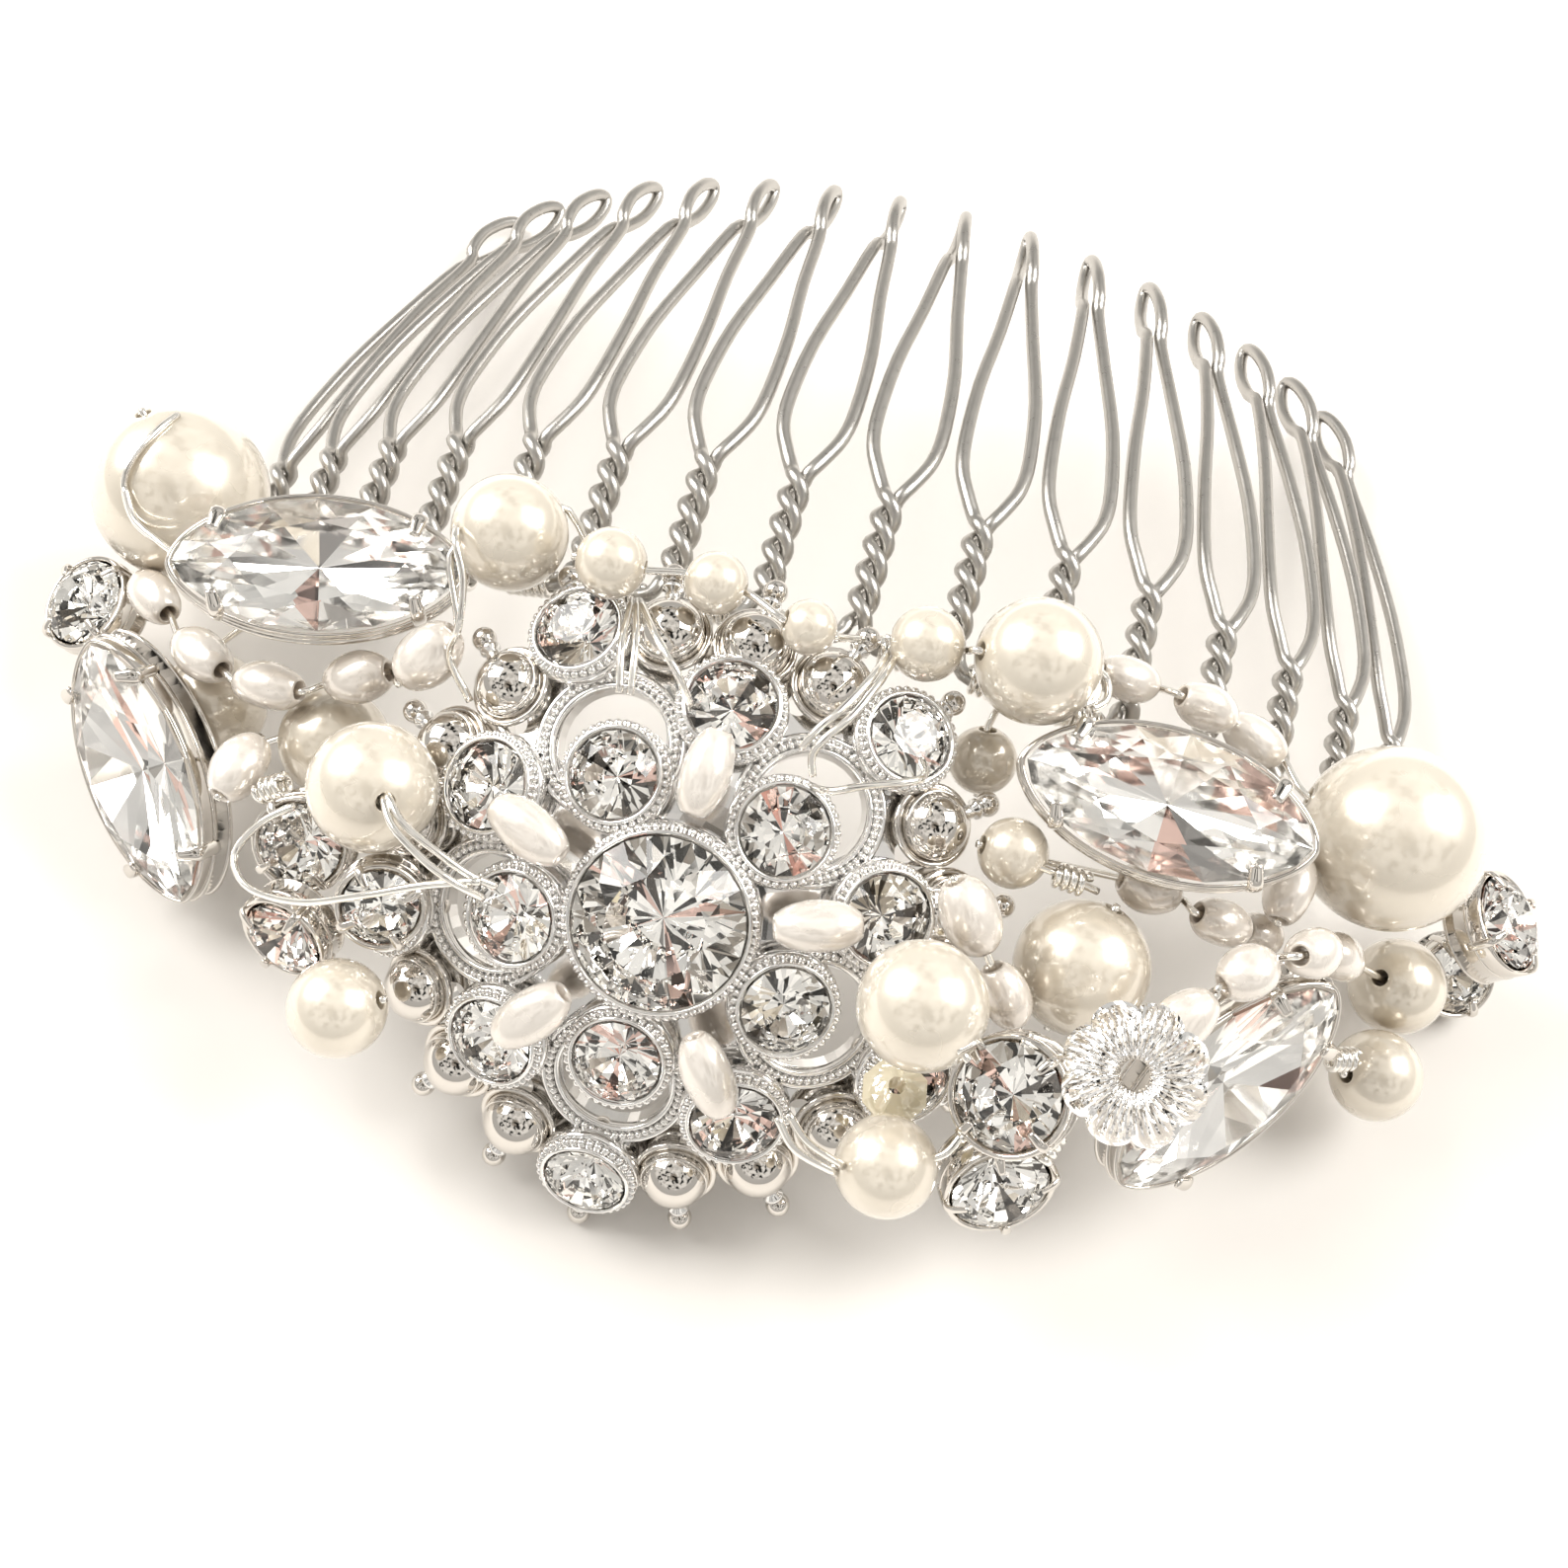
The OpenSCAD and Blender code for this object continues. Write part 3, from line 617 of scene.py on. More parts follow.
def rounded_wall(bore, wall, foot, lip):
    """The profile of a cup's wall: up its inside from the foot, over a rounded lip and down again."""
    middle = bore + wall / 2
    lip_r = wall / 2
    arc = [(middle - lip_r * math.cos(a), lip + lip_r * math.sin(a))
           for a in np.radians([0, 30, 60, 90, 120, 150, 180])]
    return [(bore, foot)] + arc + [(bore + wall, foot)]


# Solids of the frame


def solids(node):
    """The separate solids of a frame's node, each as its points and its triangles."""
    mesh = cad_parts[node].data
    mesh.calc_loop_triangles()
    points = np.array([v.co for v in mesh.vertices])
    keys, places = np.unique(np.round(points / (MM * 1e-3)).astype(int), axis=0, return_inverse=True)
    places = places.ravel()
    merged = keys * MM * 1e-3
    triangles = places[np.array([t.vertices for t in mesh.loop_triangles])]
    group = np.arange(len(merged))
    while True:
        low = group[triangles].min(axis=1)
        spread = group.copy()
        np.minimum.at(spread, triangles.ravel(), np.repeat(low, 3))
        spread = spread[spread]
        if (spread == group).all():
            break
        group = spread
    label = group[triangles[:, 0]]
    found = [(merged, triangles[label == own]) for own in np.unique(label)]
    return sorted(found, key=lambda solid: merged[solid[1]].mean(axis=(0, 1)) @ SORT_ALONG)


def corners(solid):
    """The points that the solid's own triangles use."""
    return solid[0][np.unique(solid[1])]


def seen_from(seat, solid):
    """The solid's points, measured from a seat."""
    inverse = np.array(seat.inverted())
    return corners(solid) @ inverse[:3, :3].T + inverse[:3, 3]


def face_normals(solid):
    """The unit normal, the area and the middle of each of the solid's triangles."""
    a, b, c = (solid[0][solid[1][:, k]] for k in range(3))
    crossed = np.cross(b - a, c - a)
    areas = np.linalg.norm(crossed, axis=1)
    return crossed / np.maximum(areas, 1e-15)[:, None], areas, (a + b + c) / 3


def frame_matrix(origin, x, z):
    """The place of a piece from its origin, its Z and roughly its X."""
    z = unit(z)
    y = unit(np.cross(z, x))
    x = np.cross(y, z)
    matrix = Matrix.Identity(4)
    for column, axis in enumerate((x, y, z)):
        matrix.col[column] = (*axis, 0)
    matrix.col[3] = (*origin, 1)
    return matrix


def stone_seat(solid):
    """Where a cut stone sits, Z out of its table, X along it and its girdle at 0, and its reach."""
    normals, areas, _ = face_normals(solid)
    sums = [(areas[(normals @ n) > 0.9999].sum(), tuple(n)) for n in normals]
    table = np.array(max(sums)[1])
    points = corners(solid)
    along = points @ table
    wide = points - np.outer(along, table)
    centre = wide.mean(axis=0)
    spread = np.linalg.svd(wide - centre)[2][0]
    centre = (wide[np.argmin(wide @ spread)] + wide[np.argmax(wide @ spread)]) / 2
    reach = np.linalg.norm(wide - centre, axis=1)
    girdle = along[reach > 0.97 * reach.max()].mean()
    return frame_matrix(centre + girdle * table, spread, table), reach.max()


def bore_seat(solid):
    """Where a drilled bead sits, its hole along Z, its half length along the hole and its radius."""
    normals, areas, middles = face_normals(solid)
    points = corners(solid)
    centre = (points.min(axis=0) + points.max(axis=0)) / 2
    inward = np.einsum("ij,ij->i", normals, middles - centre) < 0
    inside = normals[inward] * np.sqrt(areas[inward])[:, None]
    axis = np.linalg.svd(inside)[2][2]
    half = np.abs((points - centre) @ axis).max()
    wide = np.linalg.norm(np.cross(points - centre, axis), axis=1).max()
    return frame_matrix(centre, np.cross(axis, (0.2, 0.9, 0.4)), axis), half, wide


# Comb


def on_arc(comb, angle, y, lift):
    """A point of the comb's frame at an angle along the arc, in radians."""
    reach = comb.comb_r + lift
    return np.array([reach * math.sin(angle), y, reach * math.cos(angle) - comb.comb_r])


def on_tooth(comb, i, point):
    """A point given beside tooth i, X across it, Y along it and Z outwards, on the bent comb."""
    x, y, z = point
    bend = comb.tip_drop * max(0, y / comb.tooth_len) ** TIP_BEND
    angle = (i - (comb.tooth_count - 1) / 2) * comb.tooth_pitch / comb.comb_r
    lift = z - bend + comb.comb_r
    return np.array([x * math.cos(angle) + lift * math.sin(angle), y,
                     lift * math.cos(angle) - x * math.sin(angle) - comb.comb_r])


def bar_y(comb):
    """Where the bar runs along the arch, past the shanks."""
    return -comb.shank_len - 1 * MM


def tooth_path(comb):
    """One tooth from bar to bar: a twisted strand, a leg, the eye, the other leg and strand."""
    twist_r = comb.wire_d / 2 + 0.07 * MM
    steps = round(6 * comb.shank_turns)

    def strand(first):
        for j in range(steps + 1):
            angle = first + FULL_TURN * comb.shank_turns * j / steps
            yield (twist_r * math.cos(angle), comb.shank_len * (j / steps - 1), twist_r * math.sin(angle))

    def leg(side):
        return [(side * gap * comb.tooth_pitch, share * comb.tooth_len, 0) for share, gap in LEG]

    def eye(side):
        return [(side * step * MM, share * comb.tooth_len, side * off * MM) for share, step, off in EYE]

    foot = [(twist_r + 0.2 * MM, bar_y(comb) + 0.45 * MM, 0), (1.3 * MM, bar_y(comb), 0)]
    return (
        [(-x, y, z) for x, y, z in foot[::-1]]
        + list(strand(math.pi)) + leg(1) + eye(1)
        + [(0, comb.tooth_len, 0)]
        + eye(-1)[::-1] + leg(-1)[::-1] + list(strand(0))[::-1]
        + foot
    )


class COMB_OT_wire_comb(bpy.types.Operator):
    """Builds the long comb wire with its sixteen twisted teeth"""
    bl_idname = "tiara.wire_comb"
    bl_label = "Comb wire"

    def execute(self, context):
        comb = context.scene.tiara_comb_wire
        stops = [on_tooth(comb, i, point) for i in range(comb.tooth_count) for point in tooth_path(comb)]
        made = Form().add(tube(smooth_path(stops, 3), WIRE_SHARE * comb.wire_d / 2, 12)).piece(
            "wire_comb_drawn", ["drawn_steel"], Matrix.Translation((0, 0, FLOOR_CLEAR)) @ AT_REST)
        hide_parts("wire_comb")
        return {"FINISHED"}


# Brooch


def on_brooch(brooch):
    return (
        AT_REST
        @ Matrix.Translation(Vector(brooch.place))
        @ Matrix.Rotation(brooch.tip, 4, "X")
        @ Matrix.Rotation(brooch.turn, 4, "Z")
    )


def on_dome(brooch, out, around, lift=0.0):
    """A place on the dome, with X pointing outwards and Z off the dome. around is in degrees."""
    return (
        Matrix.Rotation(math.radians(around), 4, "Z")
        @ Matrix.Translation((0, 0, -brooch.dome_r))
        @ Matrix.Rotation(math.asin(out / brooch.dome_r), 4, "Y")
        @ Matrix.Translation((0, 0, brooch.dome_r + lift))
    )


def circle(r, steps, middle=(0, 0)):
    return [(middle[0] + r * math.cos(FULL_TURN * k / steps), middle[1] + r * math.sin(FULL_TURN * k / steps))
            for k in range(steps)]


def at_angle(out, around):
    return (out * math.cos(math.radians(around)), out * math.sin(math.radians(around)))


def five_fold(first):
    """The angles, in degrees, at which a part of the brooch repeats."""
    return [first + 72 * k for k in range(5)]


def crescent(brooch, around):
    """The opening of a petal: inside its loop's rim and outside its stone's cup."""
    loop = np.array(at_angle(brooch.loop_out, around))
    cup = np.array(at_angle(brooch.inner_out, around))
    loop_rim, cup_wall, clear = 0.35 * MM, 0.55 * MM, 0.05 * MM
    loop_r = brooch.loop_r - loop_rim
    cup_r = brooch.chaton_d / 2 + cup_wall
    away = math.radians(around)

    def arc(middle, r, angles):
        return [middle + r * np.array((math.cos(away + a), math.sin(away + a)))
                for a in np.radians(angles)]
    outer = arc(loop, loop_r, np.arange(-84, 85, 12))
    inner = arc(cup, cup_r, np.arange(78, -79, -12))
    keep = [tuple(p) for p in outer if np.linalg.norm(p - cup) > cup_r + clear]
    keep += [tuple(p) for p in inner if np.linalg.norm(p - loop) < loop_r - clear]
    return keep


def plate_openings(brooch):
    """The outlines of the holes: under each stone, in each petal, and two small ones between petals."""
    holes = [circle(0.4 * brooch.middle_d, 32)]
    for _, out, size, first in BROOCH_RINGS:
        hole_r = 0.4 * getattr(brooch, size)
        for around in five_fold(first):
            middle = at_angle(getattr(brooch, out), around)
            if math.hypot(*middle) + hole_r < brooch.plate_r:
                holes.append(circle(hole_r, 20, middle))
    for around in five_fold(0):
        holes.append(crescent(brooch, around + 36))
        for side in (-14, 14):
            holes.append(circle(0.6 * MM, 14, at_angle(13 * MM, around + side)))
    return holes


def inside(point, outline):
    """Whether a point lies inside an outline, by the sides that a line from it crosses."""
    x, y = point
    odd = False
    for (ax, ay), (bx, by) in zip(outline, outline[1:] + outline[:1]):
        if (ay > y) != (by > y) and x < (bx - ax) * (y - ay) / (by - ay) + ax:
            odd = not odd
    return odd


def pierced_plate(brooch):
    """The domed plate with its openings, as a flat triangulation laid on the dome."""
    outline = circle(brooch.plate_r, 96)
    holes = plate_openings(brooch)
    points, edges = [], []
    for loop in [outline] + holes:
        first = len(points)
        points += loop
        edges += [(first + i, first + (i + 1) % len(loop)) for i in range(len(loop))]
    for out in np.arange(1, 13) * brooch.plate_r / 13:
        points += [p for p in circle(out, max(6, int(out / MM * 5)))
                   if not any(inside(p, hole) for hole in holes)]
    flat, _, faces, *_ = delaunay_2d_cdt([Vector(p) for p in points], edges, [], 1, 1e-7)
    kept = []
    for face in faces:
        middle = tuple(sum((flat[i] for i in face), Vector((0, 0))) / len(face))
        if not any(inside(middle, hole) for hole in holes):
            kept.append(tuple(face))
    rims = {}
    for face in kept:
        for a, b in zip(face, face[1:] + face[:1]):
            rims[(a, b)] = rims.get((a, b), 0) + 1
    border = [(a, b) for a, b in rims if (b, a) not in rims]
    shell = []
    for drop in (brooch.plate_drop, brooch.plate_drop + brooch.plate_thick):
        for p in flat:
            out = p.length
            lean = math.asin(min(0.99, out / brooch.dome_r))
            reach = brooch.dome_r - drop
            side = reach * math.sin(lean) / max(out, 1e-9)
            shell.append((p.x * side, p.y * side, reach * math.cos(lean) - brooch.dome_r))
    under = len(flat)
    faces = kept + [tuple(under + i for i in face[::-1]) for face in kept]
    faces += [(b, a, under + a, under + b) for a, b in border]
    return shell, faces


def grains(form, place, r, d, height, share):
    """A circle of small grains round a cup or loop. share is their pitch over their diameter."""
    for x, y in circle(r, int(FULL_TURN * r / (d * share))):
        form.add(ball(d, 8, 5), place @ Matrix.Translation((x, y, height)))


def round_wire(form, place, r, height, size, steps=48, sides=8, slot=0):
    """A ring of wire round Z at this height."""
    form.add(tube([(x, y, height) for x, y in circle(r, steps)], size, sides, closed=True), place, slot)


def cup(form, brooch, place, d, foot):
    """A stone's cup with its rounded lip, a grained collar round it and a flat ledge inside."""
    bore = d / 2 + stones().stone_gap
    wall = stones().wall
    collar = bore + wall + 0.1 * MM
    ledge = [(0.3 * d, -0.3 * d), (bore + 0.05 * MM, -0.18 * d), (bore + 0.05 * MM, -foot), (0.3 * d, -foot)]
    collar_wall = rounded_wall(collar - 0.3 * MM, 0.55 * MM, -1.5 * MM, -0.75 * MM)
    for profile in (rounded_wall(bore, wall, -foot, 0.02 * MM), ledge, collar_wall):
        form.add(turned(profile, 40, closed=True), place)
    grains(form, place, collar, brooch.grain_d, -0.28 * MM, 0.95)


def petal_loop(form, brooch, place):
    """An open petal's rim: a rope of grains between two fine wires."""
    r = brooch.loop_r
    for offset in (-0.33 * MM, 0.33 * MM):
        round_wire(form, place, r + offset, 0.12 * MM, 0.17 * MM, 72, 6)
    body = [(-0.38, 0), (0, 0.16), (0.38, 0), (0.38, -0.45), (-0.38, -0.45)]
    form.add(turned([(r + out * MM, height * MM) for out, height in body], 72, closed=True), place)
    grains(form, place, r, brooch.grain_d, 0.26 * MM, 0.9)


def rim_tip(form, brooch, place, start, reach):
    """A stem that points outwards, with a collar and a ball at its end."""
    outward = place @ Matrix.Rotation(math.pi / 2, 4, "Y")
    shape = [(0.36, 0), (0.42, 0.2), (0.36, 0.42), (0.55, 0.5), (0.55, 0.62), (0.34, 0.7), (0.3, 1)]
    stem = [(r * MM, start + share * (reach - start)) for r, share in shape]
    form.add(turned(stem[::-1], 14), outward)
    form.add(ball(brooch.ball_d), outward @ Matrix.Translation((0, 0, reach)), slot=1)


def collared_bead(form, brooch, place):
    """A polished bead in a plain ring, with a fine ring nearer its top."""
    form.add(ball(brooch.bead_d, 36, 22), place, slot=1)
    for share, height, size in ((1.1, -0.1, 0.2), (0.93, 0.55, 0.09)):
        round_wire(form, place, share * brooch.bead_d / 2, height * MM, size * MM, 40, slot=1)


class COMB_OT_brooch_frame(bpy.types.Operator):
    """Builds the silver openwork of the brooch"""
    bl_idname = "tiara.brooch_frame"
    bl_label = "Brooch frame"

    def execute(self, context):
        brooch = context.scene.tiara_brooch
        form = Form().add(pierced_plate(brooch), smooth=False)
        cup(form, brooch, Matrix.Identity(4), brooch.middle_d, 2.4 * MM)
        for _, out, size, first in BROOCH_RINGS:
            for around in five_fold(first):
                place = on_dome(brooch, getattr(brooch, out), around)
                cup(form, brooch, place, getattr(brooch, size), 2.2 * MM)
        for around in five_fold(36):
            petal_loop(form, brooch, on_dome(brooch, brooch.loop_out, around, 0.25 * MM - brooch.plate_drop))
            tip = on_dome(brooch, brooch.loop_out + brooch.loop_r, around, 0.2 * MM - brooch.plate_drop)
            form.add(ball(1.2 * MM, 14, 9), tip, slot=1)
            rim = on_dome(brooch, brooch.rim_out, around, 0.2 * MM - brooch.bead_drop)
            rim_tip(form, brooch, rim, brooch.rim_stone_d / 2, brooch.stone_reach)
        # Twenty places round the rim, and the rim stones stand in every fourth
        for k in range(20):
            if k % 4 != 2:
                place = on_dome(brooch, brooch.bead_out, 18 * k, -brooch.bead_drop)
                collared_bead(form, brooch, place)
                rim_tip(form, brooch, place, 0.45 * brooch.bead_d, brooch.bead_reach)
        made = form.piece("brooch_frame_silver", ["silver_plate", "silver_polish"], on_brooch(brooch))
        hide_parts("brooch_frame")
        return {"FINISHED"}


# Cut stones


def cut_stone(outline, n, table, star, crown, girdle, depth):
    """A faceted stone whose girdle follows outline(share of the way round).

    The crown has a table, n stars, n kites and 2n halves. The girdle and the pavilion, whose
    facets meet at a point, come as a second list of faces, for the foil.
    """
    def ring(shift, scale, height):
        for k in range(n):
            x, y = outline((k + shift) / n)
            yield (x * scale, y * scale, height)

    points = list(ring(0, table, crown))
    points += list(ring(0.5, star, girdle / 2 + (crown - girdle / 2) * 0.62))
    for side in (1, -1):
        for k in range(2 * n):
            points.append((*outline(k / (2 * n)), side * girdle / 2))
    points += list(ring(0.5, 0.42, -girdle / 2 - depth * 0.56))
    points.append((0, 0, -depth))
    t, s, g, low, p, tip = 0, n, 2 * n, 4 * n, 6 * n, 7 * n
    crown_faces = [tuple(range(n))]
    foil_faces = []
    for k in range(n):
        after = (k + 1) % n
        before = (k - 1) % n
        crown_faces += [
            (t + after, t + k, s + k),
            (t + k, s + before, g + 2 * k),
            (t + k, g + 2 * k, s + k),
            (s + k, g + 2 * k, g + 2 * k + 1),
            (s + k, g + 2 * k + 1, g + 2 * after),
        ]
        for a, b in ((2 * k, 2 * k + 1), (2 * k + 1, 2 * after)):
            foil_faces.append((g + a, low + a, low + b, g + b))
            foil_faces.append((p + k, low + b, low + a))
        foil_faces += [(p + before, low + 2 * k, tip), (low + 2 * k, p + k, tip)]
    return points, crown_faces, foil_faces


def add_stone(form, shape, place):
    """Adds a cut stone: its crown is clear, and its back is foil."""
    points, crown_faces, foil_faces = shape
    first = form.count
    form.add((points, crown_faces), place, 0, False)
    form.faces += [[first + i for i in face] for face in foil_faces]
    form.marks += [(1, False)] * len(foil_faces)


def round_stone(d, n=8):
    """A round brilliant."""
    def outline(share):
        return (d / 2 * math.cos(FULL_TURN * share), d / 2 * math.sin(FULL_TURN * share))
    return cut_stone(
        outline, n, table=0.58, star=0.80, crown=0.17 * d, girdle=0.03 * d, depth=0.40 * d)


def navette_outline(length, width):
    """An ellipse drawn out to two blunt points, as a function of the share of the way round."""
    def outline(share):
        lean = FULL_TURN * share
        rise = math.sin(lean)
        return (length / 2 * math.cos(lean), width / 2 * math.copysign(abs(rise) ** NAVETTE_DRAW, rise))
    return outline


class COMB_OT_brooch_stones(bpy.types.Operator):
    """Cuts the stones of the brooch and lays them in their cups"""
    bl_idname = "tiara.brooch_stones"
    bl_label = "Brooch stones"

    def execute(self, context):
        for node in ["brooch_middle_stone"] + [ring[0] for ring in BROOCH_RINGS]:
            form = Form()
            for solid in solids(node):
                seat, reach = stone_seat(solid)
                add_stone(form, round_stone(2 * reach, 12 if node == "brooch_middle_stone" else 8), seat)
            made = form.piece(node + "_cut", ["clear_crystal", "stone_foil"])
            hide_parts(node)
        return {"FINISHED"}


def claw(start, reach, rise, over, width):
    """A flat claw that stands up a setting's wall at start and folds in by reach over the stone.

    It rises to its shoulder, and its end lies over the stone's girdle by over.
    """
    path = smooth_path([
        (start, 0, -1.1 * MM), (start + 0.02 * MM, 0, 0.1 * MM), (start - 0.12 * MM, 0, rise * 0.62),
        (start - 0.45 * reach, 0, rise * 0.9), (start - reach, 0, over)], 4)
    radii = np.interp(np.linspace(0, 1, len(path)), [0, 0.7, 1], [width / 2, width / 2, 0.7 * width / 2])
    return tube(path, radii, normal=(1, 0, 0), flat=0.5)


def lay_stone(name, shape, seat, foil_name):
    """The cut stone of a chaton or a navette."""
    form = Form()
    add_stone(form, shape, seat)
    made = form.piece(name + "_stone_cut", ["clear_crystal", foil_name])
    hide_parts(name + "_stone")


def lay_setting(name, form, place):
    """The setting of a chaton or a navette, gathered in its form."""
    made = form.piece(name + "_claws", ["silver_polish"], place)
    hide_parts(name + "_setting")


class COMB_OT_chatons(bpy.types.Operator):
    """Builds the round stones in claw settings"""
    bl_idname = "tiara.chatons"
    bl_label = "Set round stones"

    def execute(self, context):
        look = context.scene.tiara_stones
        for name in CHATONS:
            seat, reach = stone_seat(solids(name + "_stone")[0])
            d = 2 * reach
            wall = 0.3 * MM
            foot = -0.42 * d
            lay_stone(name, round_stone(d), seat, "stone_foil")
            bore = reach + look.stone_gap
            form = Form().add(turned(rounded_wall(bore, wall, foot, -0.05 * MM), 48, closed=True))
            ledge = [(0.3 * d, -0.3 * d), (bore + 0.05 * MM, -0.17 * d), (bore + wall, foot), (0.3 * d, foot)]
            form.add(turned(ledge, 48, closed=True))
            for height in (-0.4 * d, -0.16 * d):
                round_wire(form, None, bore + 0.24 * MM, height, 0.11 * MM)
            prong = claw(
                start=bore + 0.28 * MM, reach=0.95 * MM, rise=0.62 * MM, over=0.74 * MM, width=look.claw_d)
            for k in range(4):
                form.add(prong, Matrix.Rotation(math.radians(45 + 90 * k), 4, "Z"))
            lay_setting(name, form, claw_place(seat, name))
        return {"FINISHED"}


def claw_place(seat, name):
    """The stone's seat, turned so that the claws stand where the frame's setting has its own."""
    points = seen_from(seat, solids(name + "_setting")[0])
    top = points[points[:, 2] > points[:, 2].max() - 0.02 * MM]
    angles = np.arctan2(top[:, 1], top[:, 0])
    turn = np.angle(np.exp(4j * angles).mean()) / 4
    return seat @ Matrix.Rotation(turn - math.radians(45), 4, "Z")


class COMB_OT_navettes(bpy.types.Operator):
    """Builds the boat-shaped crystals in their open settings"""
    bl_idname = "tiara.navettes"
    bl_label = "Boat-shaped stones"

    def execute(self, context):
        look = context.scene.tiara_stones
        for name in NAVETTES:
            solid = solids(name + "_stone")[0]
            seat, _ = stone_seat(solid)
            length, width, _ = np.ptp(seen_from(seat, solid), axis=0)
            boat = cut_stone(
                navette_outline(length, width), 8, table=0.6, star=0.8,
                crown=1.4 * MM, girdle=0.25 * MM, depth=2.2 * MM)
            lay_stone(name, boat, seat, "navette_foil")
            wall = look.wall
            edge = navette_outline(length + 2 * look.stone_gap, width + 2 * look.stone_gap)
            outer = navette_outline(length + 3 * wall, width + 2.4 * wall)
            shares = np.arange(80) / 80
            rim = [edge(share) for share in shares]
            form = Form().add(band(rim, rounded_wall(0, wall, -2.3 * MM, -0.06 * MM)))
            for height, size in ((-2.25 * MM, 0.17 * MM), (-0.9 * MM, 0.12 * MM)):
                form.add(tube([(*outer(share), height) for share in shares], size, 8, closed=True))
            for x, y in ((-1, -1), (-1, 1), (1, -1), (1, 1)):
                foot = edge(0.25 - x * 0.12)
                place = (Matrix.Translation((x * abs(foot[0]), y * abs(foot[1]), 0))
                         @ Matrix.Rotation(math.atan2(y, 0.28), 4, "Z"))
                prong = claw(
                    start=0.3 * MM, reach=1.1 * MM, rise=0.75 * MM, over=0.95 * MM, width=0.8 * MM)
                form.add(prong, place)
            lay_setting(name, form, seat)
        return {"FINISHED"}


# Beads


def drilled_ball(d, hole_d):
    """A round pearl whose drilled hole runs along Z, with a softened mouth at each end."""
    r, bore = d / 2, hole_d / 2
    first = math.asin((bore + 0.09 * MM) / r)
    lean = np.linspace(first, math.pi - first, 34)
    shell = [(r * math.sin(a), r * math.cos(a)) for a in lean]
    mouth = math.sqrt(r * r - bore * bore)
    profile = [(bore, mouth - 0.12 * MM), (bore + 0.02 * MM, mouth - 0.03 * MM)] + shell
    profile += [(bore + 0.02 * MM, 0.03 * MM - mouth), (bore, 0.12 * MM - mouth)]
    return turned(profile, 56, closed=True)


def grown_pearl(length, d, hole_d, seed):
    """A rice pearl along Z: a long bead, a little lumpy, each one different."""
    draw = np.random.default_rng(seed)
    phases = draw.uniform(0, FULL_TURN, 6)
    rows, steps = 22, 30
    first = math.asin(min(0.9, hole_d / 2 * 1.2 / (d / 2)))
    points = []
    for lean in np.linspace(first, math.pi - first, rows):
        z = length / 2 * math.cos(lean) / math.cos(first)
        r = d / 2 * math.sin(lean) ** 0.92
        middle = math.sin(lean) ** 2
        for k in range(steps):
            a = FULL_TURN * k / steps
            lump = 0.97 + middle * (
                0.035 * math.sin(2 * a + phases[0]) + 0.03 * math.sin(3 * a + phases[1] + 2 * lean)
                + 0.04 * math.sin(2.5 * lean + phases[2]) * math.cos(a + phases[3]))
            points.append((r * lump * math.cos(a), r * lump * math.sin(a), z))
    bore = hole_d / 2
    for z in (-length / 2 + 0.15 * MM, length / 2 - 0.15 * MM):
        points += [(*p, z) for p in circle(bore, steps)]
    return points, [face[::-1] for face in quad_grid(rows + 2, steps, True)]


class COMB_OT_pearls(bpy.types.Operator):
    """Builds the round pearls, drilled for their wire"""
    bl_idname = "tiara.pearls"
    bl_label = "Round pearls"

    def execute(self, context):
        look = context.scene.tiara_beads
        for node in PEARLS:
            place, _, r = bore_seat(solids(node)[0])
            made = Form().add(drilled_ball(2 * PEARL_SHARE * r, look.hole_d), place).piece(
                node + "_nacre", ["round_pearl"])
            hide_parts(node)
        return {"FINISHED"}


class COMB_OT_rice_pearls(bpy.types.Operator):
    """Builds the rice pearls, each of its own shape"""
    bl_idname = "tiara.rice_pearls"
    bl_label = "Rice pearls"

    def execute(self, context):
        look = context.scene.tiara_beads
        for row, node in enumerate(("brooch_rice_pearls", "rice_pearls_left", "rice_pearls_right")):
            form = Form()
            for i, solid in enumerate(solids(node)):
                place, half, r = bore_seat(solid)
                form.add(grown_pearl(2 * half, 2 * r, look.hole_d, 100 * row + i), place)
            made = form.piece(node + "_nacre", ["rice_pearl"])
            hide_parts(node)
        return {"FINISHED"}


def flower(r, half, hole_r, lobes):
    """A pressed glass flower: ridged petals round a drilled middle."""
    rings, steps = 16, lobes * 18
    points = []
    for side in (1, -1):
        for i in range(rings + 1):
            share = i / rings
            for k in range(steps):
                a = FULL_TURN * k / steps
                edge = r * (0.86 + 0.14 * abs(math.cos(lobes * a / 2)) ** 0.6)
                out = hole_r + (edge - hole_r) * share
                dome = math.cos(share * math.pi / 2 * 0.96) ** 0.45
                ridge = 0.18 * math.cos(3 * lobes * a) * math.sin(math.pi * share) if side > 0 else 0
                dimple = 0.45 * math.exp(-(share / 0.2) ** 2)
                points.append((out * math.cos(a), out * math.sin(a), side * half * (dome - dimple + ridge)))
    under = (rings + 1) * steps
    faces = quad_grid(rings + 1, steps)
    faces += [tuple(under + i for i in face[::-1]) for face in faces]
    last = rings * steps
    for k in range(steps):
        after = (k + 1) % steps
        faces.append((last + k, last + after, under + last + after, under + last + k))
        faces.append((after, k, under + k, under + after))
    return points, faces


